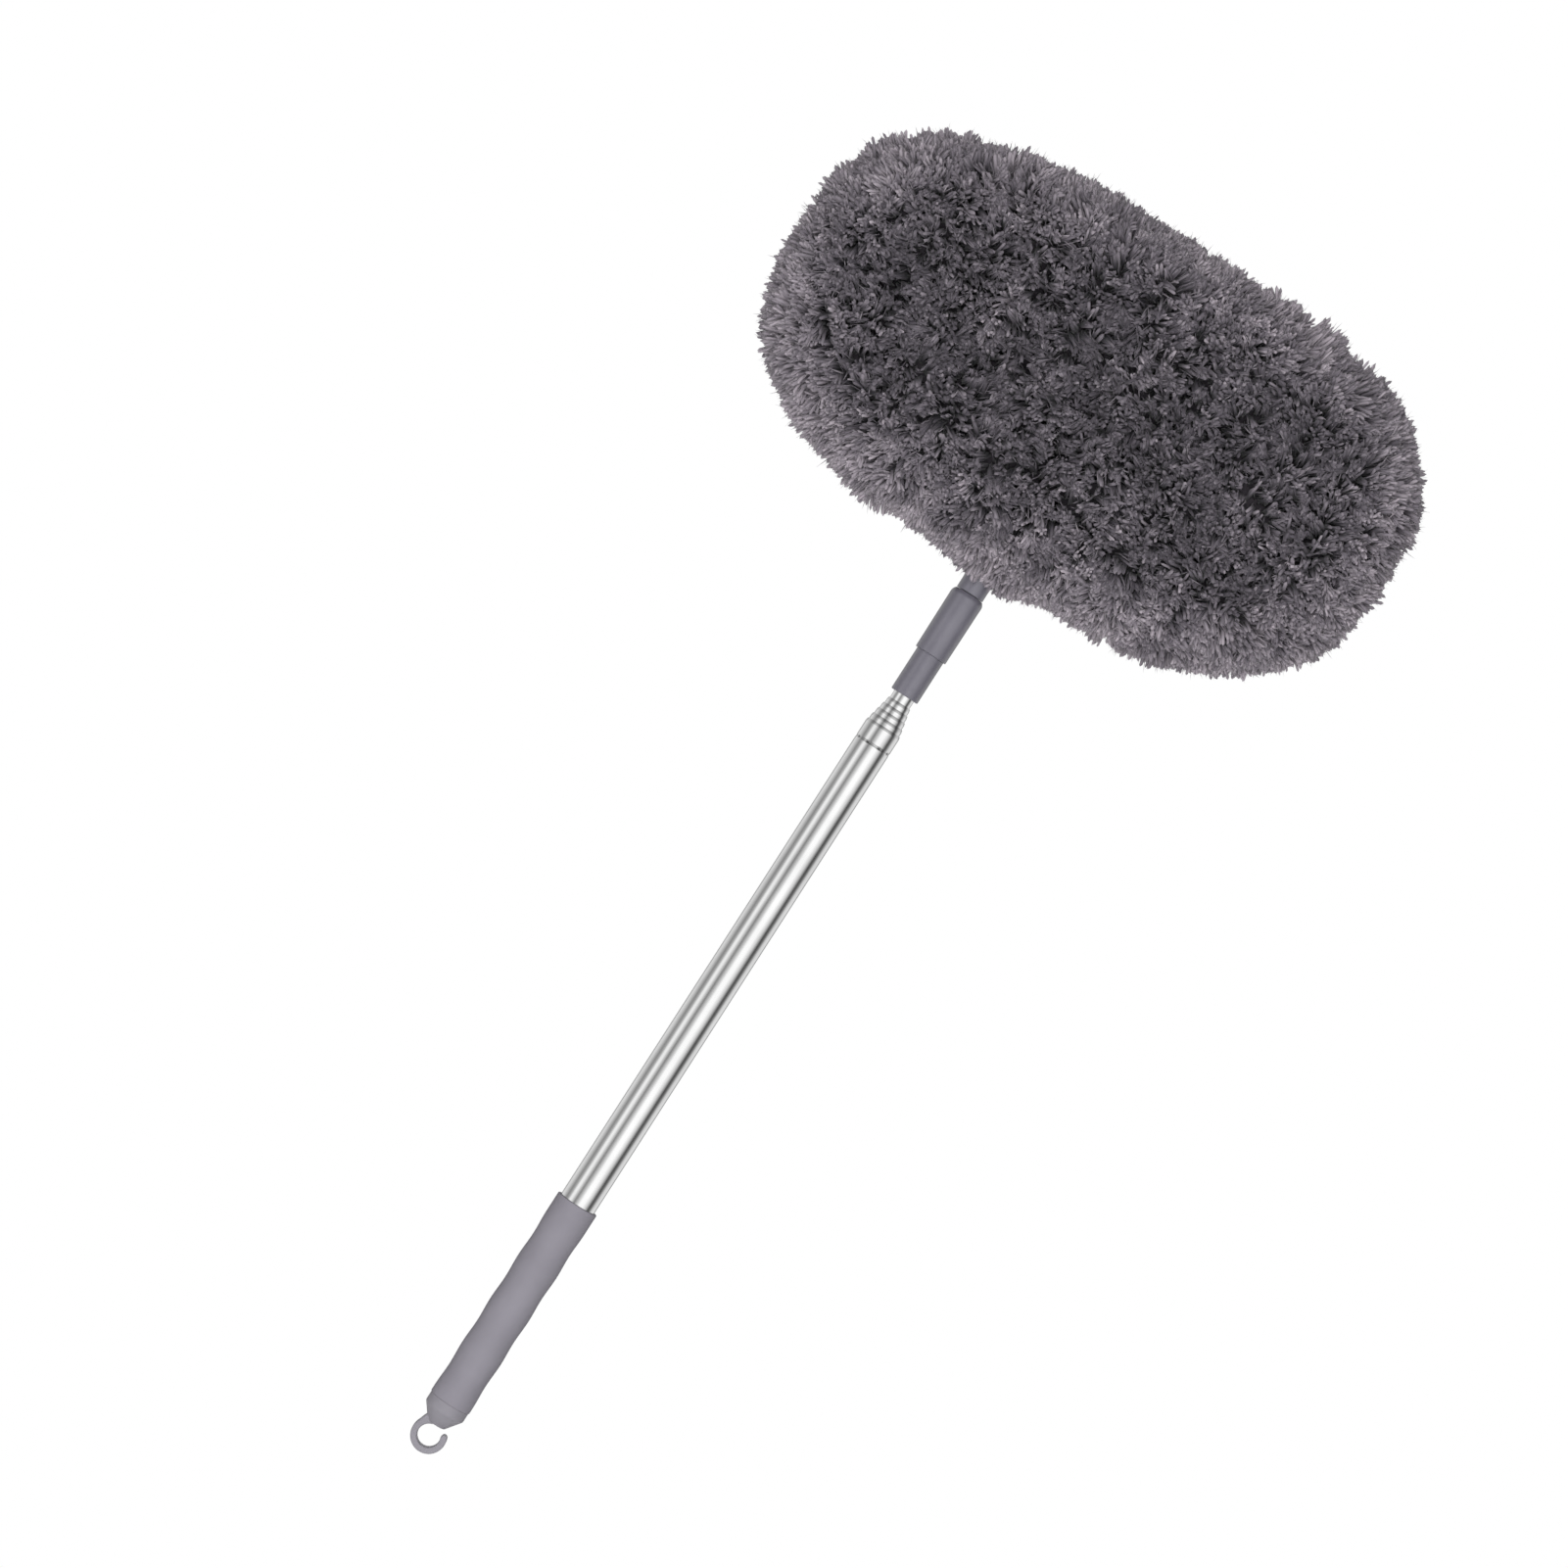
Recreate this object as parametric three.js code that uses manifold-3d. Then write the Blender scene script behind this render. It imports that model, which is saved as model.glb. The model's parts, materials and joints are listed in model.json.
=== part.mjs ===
// Telescopic ceiling fan duster: a pole of nested steel tubes with a hand grip and a hanging hook at its lower end,
// and a fluffy loop-shaped head that screws on to its upper end.
//
// Millimetres, +Z up along the pole. The origin is on the pole's axis, at the middle of the hand grip. The head's
// long side lies along X, and its broad face looks along -Y.

import * as THREE from 'three';
import { mergeVertices } from 'three/addons/utils/BufferGeometryUtils.js';
import { ParametricGeometry } from 'three/addons/geometries/ParametricGeometry.js';
import Module from 'manifold-3d';

const wasm = await Module();
wasm.setup();

// Telescopic tubes
const TUBE_COUNT = 6;
const OUTER_TUBE_DIAMETER = 22;
const TUBE_DIAMETER_STEP = 1.8;
const TUBE_WALL = 0.4;
const MOUTH_STEP = 4.05;
const STAGE_TRAVEL = 390;
const LIP_LENGTH = 2;
const LIP_CLEARANCE = 0.1;
const GROOVE_BELOW_MOUTH = 11.8;
const GROOVE_LENGTH = 2.4;
const BEAD_LENGTH = 1.6;
const BEAD_SHARE_OF_GAP = 0.6;
const TUBE_TAIL = 7.4;
const STOP_GAP = 0.5;
const FRICTION_SLEEVE_LENGTH = 16;
const FRICTION_SLEEVE_SLIT = 3;
const FRICTION_CLEARANCE = 0.1;

// Hand grip
const GRIP_LENGTH = 132.4;
const GRIP_WALL = 1.5;
const GRIP_CLEARANCE = 0.15;
const GRIP_WAVES = 4;
const GRIP_WAVE_DEPTH = 0.55;
const GRIP_BOTTOM_LAND = 3.5;
const GRIP_TOP_LAND = 12.9;
const GRIP_EDGE = 0.6;

// End cap and hanging hook
const CAP_RIM_OVERHANG = 1.25;
const CAP_RIM_LENGTH = 5.6;
const CAP_CONE_LENGTH = 7.6;
const CAP_NOSE_DIAMETER = 11;
const CAP_SPIGOT_LENGTH = 20;
const CAP_SPIGOT_CLEARANCE = 0.15;
const HOOK_DIAMETER = 20.9;
const HOOK_SECTION = 3.85;
const HOOK_DEPTH = 8;
const HOOK_BEVEL = 0.8;
const HOOK_SINK = 1.95;
const HOOK_TIP_DEGREES = 20;
const HOOK_TONGUE_DEGREES = 54;
const HOOK_SEAT_WIDTH = 3;

// Socket on the thinnest tube, and its screw thread
const SOCKET_STANDOFF = 4.7;
const SOCKET_LENGTH = 27.5;
const SOCKET_WALL = 2.05;
const SOCKET_CLEARANCE = 0.1;
const SOCKET_EDGE = 0.6;
const TUBE_SEAT_DEPTH = 24;
const SPIGOT_RADIUS = 6.9;
const SPIGOT_WALL = 2.7;
const SPIGOT_LENGTH = 25.5;
const THREAD_PITCH = 5;
const THREAD_HEIGHT = 0.8;
const THREAD_ROOT_WIDTH = 2;
const THREAD_CREST_WIDTH = 1;
const THREAD_CLEARANCE = 0.3;
const THREAD_LEAD_IN = 2.5;

// Screw collar
const COLLAR_WALL = 1.5;
const COLLAR_TAPER = 0.6;
const COLLAR_LIP_LENGTH = 9.7;
const COLLAR_TOP_CHAMFER = 2.2;
const COLLAR_TOP_CHAMFER_DEPTH = 1.3;
const COLLAR_BOTTOM_CHAMFER = 3.8;
const COLLAR_BOTTOM_CHAMFER_DEPTH = 0.9;

// Stem of the head
const FLANGE_LENGTH = 4.3;
const FLANGE_BITE = 1.8;
const FLANGE_CLEARANCE = 0.6;
const SHANK_CLEARANCE = 0.3;
const NECK_DIAMETER = 17;
const NECK_SHOWN = 8.6;
const NECK_FLARE_LENGTH = 5;
const HUB_DIAMETER = 19.6;
const HUB_NOSE = 4;
const WIRE_SPACING = 10;
const WIRE_SOCKET_DEPTH = 30;
const WIRE_SOCKET_CLEARANCE = 0.3;

// Wire loop and the roll on it
const HEAD_LENGTH = 388;
const HEAD_HEIGHT = 226.4;
const HEAD_THICKNESS = 104;
const SLOT_LENGTH = 170;
const SLOT_HEIGHT = 14;
const OUTLINE_TOP_POWER = 3.1;
const OUTLINE_BOTTOM_POWER = 2.5;
const LOOP_TOP_POWER = 2.8;
const LOOP_BOTTOM_POWER = 2.4;
const SLOT_POWER = 2.5;
const PILE_RIM_POWER = 2.3;
const PILE_SLOT_SIDE_POWER = 4;
const WIRE_DIAMETER = 4;
const WIRE_BEND = 15;
const HOSE_DIAMETER = 12;
const BACKING_WALL = 1.2;
const CUFF_LENGTH = 8;
const CUFF_WALL = 1.5;
const ROLL_CLEARANCE = 0.3;
const ROLL_END_GAP = 2;
const STEM_HOLE_CLEARANCE = 0.4;

// Gap between seated faces, and how finely round pieces are cut
const SEAT_GAP = 0.3;
const ROUND_SIDES = 20;
const WAVE_STEPS = 4;
const HOOK_ARC_STEPS = 12;
const THREAD_STEPS = 12;
const WIRE_SIDES = 6;
const HOSE_SIDES = 8;
const ROLL_STEPS = 36;
const BEND_STEPS = 6;
const PILE_RING_STEPS = 44;
const PILE_SECTION_STEPS = 16;
const WELD = 1e-4;
const CUT_MARGIN = 5;

// Sizes worked out from those above, along the pole
const grooveHalf = GROOVE_LENGTH / 2;
const gripBottom = -GRIP_LENGTH / 2;
const capTop = gripBottom - SEAT_GAP;
const innerTubeBottom = capTop + CAP_SPIGOT_LENGTH + SEAT_GAP;
const frictionSeat = FRICTION_SLEEVE_LENGTH + 2 * FRICTION_CLEARANCE;
const firstStop = innerTubeBottom + TUBE_TAIL + frictionSeat + 2 * BEAD_LENGTH;
const firstMouth = firstStop + STAGE_TRAVEL + STOP_GAP + grooveHalf + GROOVE_BELOW_MOUTH;
const mouthHeight = (stage) => firstMouth + (stage - 1) * MOUTH_STEP;
const socketBottom = mouthHeight(TUBE_COUNT - 1) + SOCKET_STANDOFF;
const socketTop = socketBottom + SOCKET_LENGTH;
const tubeSeat = socketBottom + TUBE_SEAT_DEPTH;
const spigotTop = socketTop + SPIGOT_LENGTH;
const collarBottom = socketTop + SEAT_GAP;
const flangeBottom = spigotTop + SEAT_GAP;
const flangeTop = flangeBottom + FLANGE_LENGTH;
const lipBottom = flangeTop + SEAT_GAP;
const collarTop = lipBottom + COLLAR_LIP_LENGTH;
const neckBottom = collarTop + SEAT_GAP;
const headBottom = collarTop + NECK_SHOWN;
const headCentre = headBottom + HEAD_HEIGHT / 2;

// Sizes worked out from those above, across the pole
const tubeRadius = (stage) => (OUTER_TUBE_DIAMETER - (stage - 1) * TUBE_DIAMETER_STEP) / 2;
const tubeGap = TUBE_DIAMETER_STEP / 2 - TUBE_WALL;
const beadHeight = tubeGap * BEAD_SHARE_OF_GAP;
const frictionWall = tubeGap - 2 * FRICTION_CLEARANCE;
const socketBore = tubeRadius(TUBE_COUNT) + SOCKET_CLEARANCE;
const collarBore = SPIGOT_RADIUS + THREAD_HEIGHT + THREAD_CLEARANCE;
const flangeRadius = collarBore - FLANGE_CLEARANCE;
const shankRadius = flangeRadius - FLANGE_BITE;
const hookRadius = HOOK_DIAMETER / 2;
const hookEyeRadius = hookRadius - HOOK_SECTION;
const hookCentre = capTop - CAP_RIM_LENGTH - CAP_CONE_LENGTH + HOOK_SINK - hookRadius;

// Sizes of the loop and the roll on it
const loopHalfLength = (HEAD_LENGTH + SLOT_LENGTH) / 4;
const loopHalfHeight = (HEAD_HEIGHT + SLOT_HEIGHT) / 4;
const loopBottom = headCentre - loopHalfHeight;
const hubTop = loopBottom - WIRE_BEND;
const wireRadius = WIRE_DIAMETER / 2;
const rollEnd = WIRE_SPACING / 2 + WIRE_BEND;
const hoseBore = wireRadius + ROLL_CLEARANCE;
const hoseRadius = HOSE_DIAMETER / 2;
const backingBore = hoseRadius + ROLL_CLEARANCE;
const backingRadius = backingBore + BACKING_WALL;
const cuffBore = backingRadius + ROLL_CLEARANCE;
const cuffRadius = cuffBore + CUFF_WALL;
const pileBore = backingRadius + ROLL_CLEARANCE;

const steel = { color: 0xc6c7ca, metalness: 1, roughness: 0.22 };
const wireSteel = { color: 0xa9abad, metalness: 1, roughness: 0.4 };
const greyPlastic = { color: 0x827e84, metalness: 0, roughness: 0.5 };
const gripRubber = { color: 0x98949a, metalness: 0, roughness: 0.62 };
const nylon = { color: 0xe4e0d4, metalness: 0, roughness: 0.45 };
const hosePlastic = { color: 0xd4d4d2, metalness: 0, roughness: 0.5 };
const knit = { color: 0x565257, metalness: 0, roughness: 0.95 };
const elastic = { color: 0x4a474b, metalness: 0, roughness: 0.85 };
const microfibre = { color: 0x66626a, metalness: 0, roughness: 1 };

/** Signed volume of an indexed triangle geometry: negative when its faces point inwards. */
function signedVolume(geometry) {
  const position = geometry.getAttribute('position');
  const corner = [0, 1, 2].map(() => new THREE.Vector3());
  let volume = 0;
  for (let i = 0; i < geometry.index.count; i += 3) {
    corner.forEach((point, j) => point.fromBufferAttribute(position, geometry.index.getX(i + j)));
    volume += corner[0].dot(corner[1].cross(corner[2])) / 6;
  }
  return volume;
}

/** The geometry with shared corners welded, empty triangles dropped and its faces turned outwards. */
function welded(geometry) {
  const bare = new THREE.BufferGeometry();
  bare.setAttribute('position', geometry.getAttribute('position'));
  bare.setIndex(geometry.index);
  const merged = mergeVertices(bare, WELD);
  const kept = [];
  for (let i = 0; i < merged.index.count; i += 3) {
    const [a, b, c] = [0, 1, 2].map((j) => merged.index.getX(i + j));
    if (a !== b && b !== c && c !== a) kept.push(a, b, c);
  }
  merged.setIndex(kept);
  if (signedVolume(merged) < 0) merged.setIndex(kept.reverse());
  return merged;
}

/** A closed geometry as a solid that can be joined and cut. */
function solid(geometry) {
  const mesh = welded(geometry);
  return new wasm.Manifold(new wasm.Mesh({
    numProp: 3,
    vertProperties: new Float32Array(mesh.getAttribute('position').array),
    triVerts: new Uint32Array(mesh.index.array),
  }));
}

/** A joined or cut solid as a geometry again. */
function geometryOf(body) {
  const { vertProperties, triVerts } = body.getMesh();
  const geometry = new THREE.BufferGeometry();
  geometry.setAttribute('position', new THREE.BufferAttribute(new Float32Array(vertProperties), 3));
  geometry.setIndex(new THREE.BufferAttribute(new Uint32Array(triVerts), 1));
  return geometry;
}

/** A named mesh of one closed geometry. */
function piece(name, geometry, finish) {
  const shape = welded(geometry);
  shape.computeVertexNormals();
  const mesh = new THREE.Mesh(shape, new THREE.MeshStandardMaterial(finish));
  mesh.name = name;
  return mesh;
}

/** A round piece about Z from [radius, height] points; a ring's profile closes on itself, a core's ends on Z. */
function lathe(profile, ring = true) {
  const points = profile.map(([radius, height]) => new THREE.Vector2(radius, height));
  if (ring) points.push(points[0].clone());
  return new THREE.LatheGeometry(points, ROUND_SIDES).rotateX(Math.PI / 2);
}

/** Corners of a regular polygon with the given corner radius. */
function polygon(radius, sides) {
  return Array.from({ length: sides }, (_, i) => {
    const angle = (2 * Math.PI * i) / sides;
    return new THREE.Vector2(radius * Math.cos(angle), radius * Math.sin(angle));
  });
}

/** A tube or, with no bore, a rod along a curve. */
function tubeAlong(path, radius, bore, sides, steps) {
  const section = new THREE.Shape(polygon(radius, sides));
  if (bore > 0) section.holes.push(new THREE.Path(polygon(bore, sides)));
  return new THREE.ExtrudeGeometry(section, { steps, bevelEnabled: false, extrudePath: path });
}

/** An upright round bar, used to cut holes. */
function upright(radius, low, high) {
  return lathe([[0, low], [radius, low], [radius, high], [0, high]], false);
}

/** One steel tube, measured from its own mouth down: rolled lip and groove, then beads for its friction sleeve. */
function tubeGeometry(stage) {
  const radius = tubeRadius(stage);
  const bore = radius - TUBE_WALL;
  const isOuter = stage === 1;
  const isTop = stage === TUBE_COUNT;
  const bottom = (isOuter ? gripBottom : innerTubeBottom) - mouthHeight(stage);
  const outside = [];
  const inside = [];
  if (isTop) {
    const top = tubeSeat - SEAT_GAP - mouthHeight(stage);
    outside.push([radius, top]);
    inside.push([bore, top]);
  } else {
    const lipBore = tubeRadius(stage + 1) + LIP_CLEARANCE;
    const lipRadius = lipBore + TUBE_WALL;
    const shoulder = (lipRadius + 2 * radius) / 3;
    const groove = -GROOVE_BELOW_MOUTH;
    outside.push([lipRadius, 0], [shoulder, -LIP_LENGTH / 3], [radius, -LIP_LENGTH]);
    outside.push([radius, groove + grooveHalf], [radius - beadHeight, groove], [radius, groove - grooveHalf]);
    inside.push([lipBore, 0], [lipBore, -LIP_LENGTH / 3], [bore, -LIP_LENGTH]);
    inside.push([bore, groove + grooveHalf], [bore - beadHeight, groove], [bore, groove - grooveHalf]);
  }
  if (!isOuter) {
    const upperBead = firstStop - firstMouth - MOUTH_STEP;
    const lowerBead = upperBead - BEAD_LENGTH - frictionSeat;
    for (const top of [upperBead, lowerBead]) {
      outside.push([radius, top], [radius + beadHeight, top - BEAD_LENGTH / 2], [radius, top - BEAD_LENGTH]);
    }
  }
  outside.push([radius, bottom]);
  inside.push([bore, bottom]);
  return lathe([...outside, ...inside.reverse()]);
}

/** The split sleeve that grips between a tube's two beads and the bore of the tube round it. */
function frictionSleeveGeometry(stage) {
  const bore = tubeRadius(stage) + FRICTION_CLEARANCE;
  const radius = bore + frictionWall;
  const top = firstStop - firstMouth - MOUTH_STEP - BEAD_LENGTH - FRICTION_CLEARANCE;
  const bottom = top - FRICTION_SLEEVE_LENGTH;
  const ring = lathe([[bore, bottom], [radius, bottom], [radius, top], [bore, top]]);
  const slit = new THREE.BoxGeometry(FRICTION_SLEEVE_SLIT, radius, FRICTION_SLEEVE_LENGTH + CUT_MARGIN);
  slit.translate(0, radius, (top + bottom) / 2);
  return geometryOf(solid(ring).subtract(solid(slit)));
}

/** Soft grip with evenly spaced shallow waves between two plain lands. */
function gripGeometry() {
  const bore = tubeRadius(1) + GRIP_CLEARANCE;
  const radius = bore + GRIP_WALL;
  const pitch = (GRIP_LENGTH - GRIP_BOTTOM_LAND - GRIP_TOP_LAND) / GRIP_WAVES;
  const top = gripBottom + GRIP_LENGTH;
  const outside = [[radius - GRIP_EDGE, gripBottom], [radius, gripBottom + GRIP_EDGE]];
  for (let i = 0; i <= GRIP_WAVES * WAVE_STEPS; i += 1) {
    const dip = (1 - Math.cos((2 * Math.PI * i) / WAVE_STEPS)) / 2;
    const height = gripBottom + GRIP_BOTTOM_LAND + (pitch * i) / WAVE_STEPS;
    outside.push([radius - GRIP_WAVE_DEPTH * dip, height]);
  }
  outside.push([radius, top - GRIP_EDGE], [radius - GRIP_EDGE, top]);
  return lathe([...outside, [bore, top], [bore, gripBottom]]);
}

/** Open ring in the XZ plane, with a round free tip and a flat seat at the bottom of its eye. */
function hookGeometry() {
  const tip = THREE.MathUtils.degToRad(HOOK_TIP_DEGREES);
  const tongue = THREE.MathUtils.degToRad(HOOK_TONGUE_DEGREES) - 2 * Math.PI;
  const seat = Math.asin(HOOK_SEAT_WIDTH / 2 / hookEyeRadius);
  const middle = hookRadius - HOOK_SECTION / 2;
  const outline = new THREE.Shape();
  outline.absarc(0, 0, hookRadius, tip, tongue, true);
  outline.absarc(0, 0, hookEyeRadius, tongue, -Math.PI / 2 - seat, false);
  outline.absarc(0, 0, hookEyeRadius, -Math.PI / 2 + seat, tip, false);
  outline.absarc(middle * Math.cos(tip), middle * Math.sin(tip), HOOK_SECTION / 2, tip + Math.PI, tip, true);
  const ring = new THREE.ExtrudeGeometry(outline, {
    depth: HOOK_DEPTH - 2 * HOOK_BEVEL,
    bevelThickness: HOOK_BEVEL,
    bevelSize: HOOK_BEVEL,
    bevelOffset: -HOOK_BEVEL,
    bevelSegments: 1,
    curveSegments: HOOK_ARC_STEPS,
  });
  return ring.rotateX(Math.PI / 2).translate(0, HOOK_DEPTH / 2 - HOOK_BEVEL, hookCentre);
}

/** End cap: spigot in the outer tube, rim under the grip, cone, and the hook joined to the cone. */
function endCapGeometry() {
  const rim = tubeRadius(1) + CAP_RIM_OVERHANG;
  const rimBottom = capTop - CAP_RIM_LENGTH;
  const coneBottom = rimBottom - CAP_CONE_LENGTH;
  const spigot = tubeRadius(1) - TUBE_WALL - CAP_SPIGOT_CLEARANCE;
  const body = lathe([
    [0, coneBottom], [CAP_NOSE_DIAMETER / 2, coneBottom], [rim, rimBottom], [rim, capTop],
    [spigot, capTop], [spigot, capTop + CAP_SPIGOT_LENGTH], [0, capTop + CAP_SPIGOT_LENGTH],
  ], false);
  return geometryOf(solid(body).add(solid(hookGeometry())));
}

/** A screw thread's ridge: four corners carried round a helix, closed at both ends. */
function threadRidge(root, crest, low, high, start) {
  const steps = Math.ceil(((high - low) / THREAD_PITCH) * THREAD_STEPS);
  const corners = [
    [root, -THREAD_ROOT_WIDTH / 2], [crest, -THREAD_CREST_WIDTH / 2],
    [crest, THREAD_CREST_WIDTH / 2], [root, THREAD_ROOT_WIDTH / 2],
  ];
  const sides = corners.length;
  const position = [];
  const index = [0, 1, 2, 0, 2, 3];
  for (let i = 0; i <= steps; i += 1) {
    const height = low + ((high - low) * i) / steps;
    const angle = (2 * Math.PI * (height - start)) / THREAD_PITCH;
    for (const [radius, rise] of corners) {
      position.push(radius * Math.cos(angle), radius * Math.sin(angle), height + rise);
    }
  }
  for (let i = 0; i < steps * sides; i += 1) {
    const ring = i - (i % sides);
    const next = ring + ((i + 1) % sides);
    index.push(i, i + sides, next, next, i + sides, next + sides);
  }
  const last = steps * sides;
  index.push(last, last + 2, last + 1, last, last + 3, last + 2);
  const geometry = new THREE.BufferGeometry();
  geometry.setAttribute('position', new THREE.Float32BufferAttribute(position, 3));
  geometry.setIndex(index);
  return geometry;
}

/** Socket on the thinnest tube, with the threaded spigot that takes the collar. */
function socketGeometry() {
  const radius = socketBore + SOCKET_WALL;
  const bore = SPIGOT_RADIUS - SPIGOT_WALL;
  const body = lathe([
    [radius - SOCKET_EDGE, socketBottom], [radius, socketBottom + SOCKET_EDGE],
    [radius, socketTop], [SPIGOT_RADIUS, socketTop], [SPIGOT_RADIUS, spigotTop],
    [bore, spigotTop], [bore, tubeSeat], [socketBore, tubeSeat], [socketBore, socketBottom],
  ]);
  const root = SPIGOT_RADIUS - THREAD_HEIGHT / 2;
  const crest = SPIGOT_RADIUS + THREAD_HEIGHT;
  const low = socketTop + THREAD_LEAD_IN;
  const ridge = threadRidge(root, crest, low, spigotTop - THREAD_LEAD_IN, socketTop);
  return geometryOf(solid(body).add(solid(ridge)));
}

/** Collar that turns on the stem and screws down over the socket's spigot. */
function collarGeometry() {
  const lowRadius = collarBore + COLLAR_WALL;
  const highRadius = lowRadius + COLLAR_TAPER;
  const lipBore = shankRadius + SHANK_CLEARANCE;
  const body = lathe([
    [lowRadius - COLLAR_BOTTOM_CHAMFER_DEPTH, collarBottom], [lowRadius, collarBottom + COLLAR_BOTTOM_CHAMFER],
    [highRadius, collarTop - COLLAR_TOP_CHAMFER], [highRadius - COLLAR_TOP_CHAMFER_DEPTH, collarTop],
    [lipBore, collarTop], [lipBore, lipBottom], [collarBore, lipBottom], [collarBore, collarBottom],
  ]);
  const root = collarBore + THREAD_HEIGHT / 2;
  const crest = collarBore - THREAD_HEIGHT;
  const low = collarBottom + THREAD_LEAD_IN;
  const high = flangeBottom - THREAD_LEAD_IN;
  const ridge = threadRidge(root, crest, low, high, socketTop + THREAD_PITCH / 2);
  return geometryOf(solid(body).add(solid(ridge)));
}

/** Stem of the head: flange and shank held by the collar, neck, and a hub with two sockets for the wire. */
function stemGeometry() {
  const neck = NECK_DIAMETER / 2;
  const hub = HUB_DIAMETER / 2;
  const body = lathe([
    [0, flangeBottom], [flangeRadius, flangeBottom], [flangeRadius, flangeTop], [shankRadius, flangeTop],
    [shankRadius, neckBottom], [neck, neckBottom], [neck, headBottom], [hub, headBottom + NECK_FLARE_LENGTH],
    [hub, hubTop - HUB_NOSE], [neck, hubTop], [0, hubTop],
  ], false);
  const bore = wireRadius + WIRE_SOCKET_CLEARANCE;
  const socket = upright(bore, hubTop - WIRE_SOCKET_DEPTH, hubTop + CUT_MARGIN);
  const left = solid(socket.clone().translate(-WIRE_SPACING / 2, 0, 0));
  const right = solid(socket.clone().translate(WIRE_SPACING / 2, 0, 0));
  return geometryOf(solid(body).subtract(left).subtract(right));
}

/** A sine or cosine bent so that a round of these follows a superellipse, squarer the higher its power. */
function squared(value, power) {
  return Math.sign(value) * Math.abs(value) ** (2 / power);
}

/** A point of an oval about the head's centre; turn 0 is its lowest point and a quarter turn its +X end. */
function ovalPoint(halfLength, halfHeight, turn, topPower, bottomPower) {
  const power = Math.cos(turn) > 0 ? bottomPower : topPower;
  const x = halfLength * squared(Math.sin(turn), power);
  const z = -halfHeight * squared(Math.cos(turn), power);
  return new THREE.Vector3(x, 0, headCentre + z);
}

/** The line that the roll follows, from a share of the way round to another, starting on the +X side. */
class LoopCurve extends THREE.Curve {
  constructor(from = 0, to = 1) {
    super();
    const first = Math.asin((rollEnd / loopHalfLength) ** (LOOP_BOTTOM_POWER / 2));
    this.start = THREE.MathUtils.lerp(first, 2 * Math.PI - first, from);
    this.end = THREE.MathUtils.lerp(first, 2 * Math.PI - first, to);
  }

  getPoint(share, target = new THREE.Vector3()) {
    const turn = THREE.MathUtils.lerp(this.start, this.end, share);
    return target.copy(ovalPoint(loopHalfLength, loopHalfHeight, turn, LOOP_TOP_POWER, LOOP_BOTTOM_POWER));
  }
}

const rollPath = new LoopCurve();

/** Wire from its socket in the hub up and round into the loop, on the +X side or, mirrored, on the -X side. */
function wireLeg(side) {
  const end = rollPath.getPointAt(0);
  const along = rollPath.getTangentAt(0);
  const top = new THREE.Vector3(WIRE_SPACING / 2, 0, hubTop);
  const foot = new THREE.Vector3(WIRE_SPACING / 2, 0, hubTop - WIRE_SOCKET_DEPTH + SEAT_GAP);
  const pull = WIRE_BEND / 2;
  const above = top.clone().setZ(hubTop + pull);
  const before = end.clone().addScaledVector(along, -pull);
  const inside = end.clone().addScaledVector(along, wireRadius);
  const flip = (point) => point.setX(point.x * side);
  const bend = new THREE.CubicBezierCurve3(...[top.clone(), above, before, end.clone()].map(flip));
  const leg = new THREE.CatmullRomCurve3([flip(foot), ...bend.getPoints(BEND_STEPS), flip(inside)]);
  return tubeAlong(leg, wireRadius, 0, WIRE_SIDES, 2 * BEND_STEPS);
}

/** One bent wire: the loop and its two legs. */
function wireGeometry() {
  const loop = solid(tubeAlong(rollPath, wireRadius, 0, WIRE_SIDES, ROLL_STEPS));
  return geometryOf(loop.add(solid(wireLeg(1))).add(solid(wireLeg(-1))));
}

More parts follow.
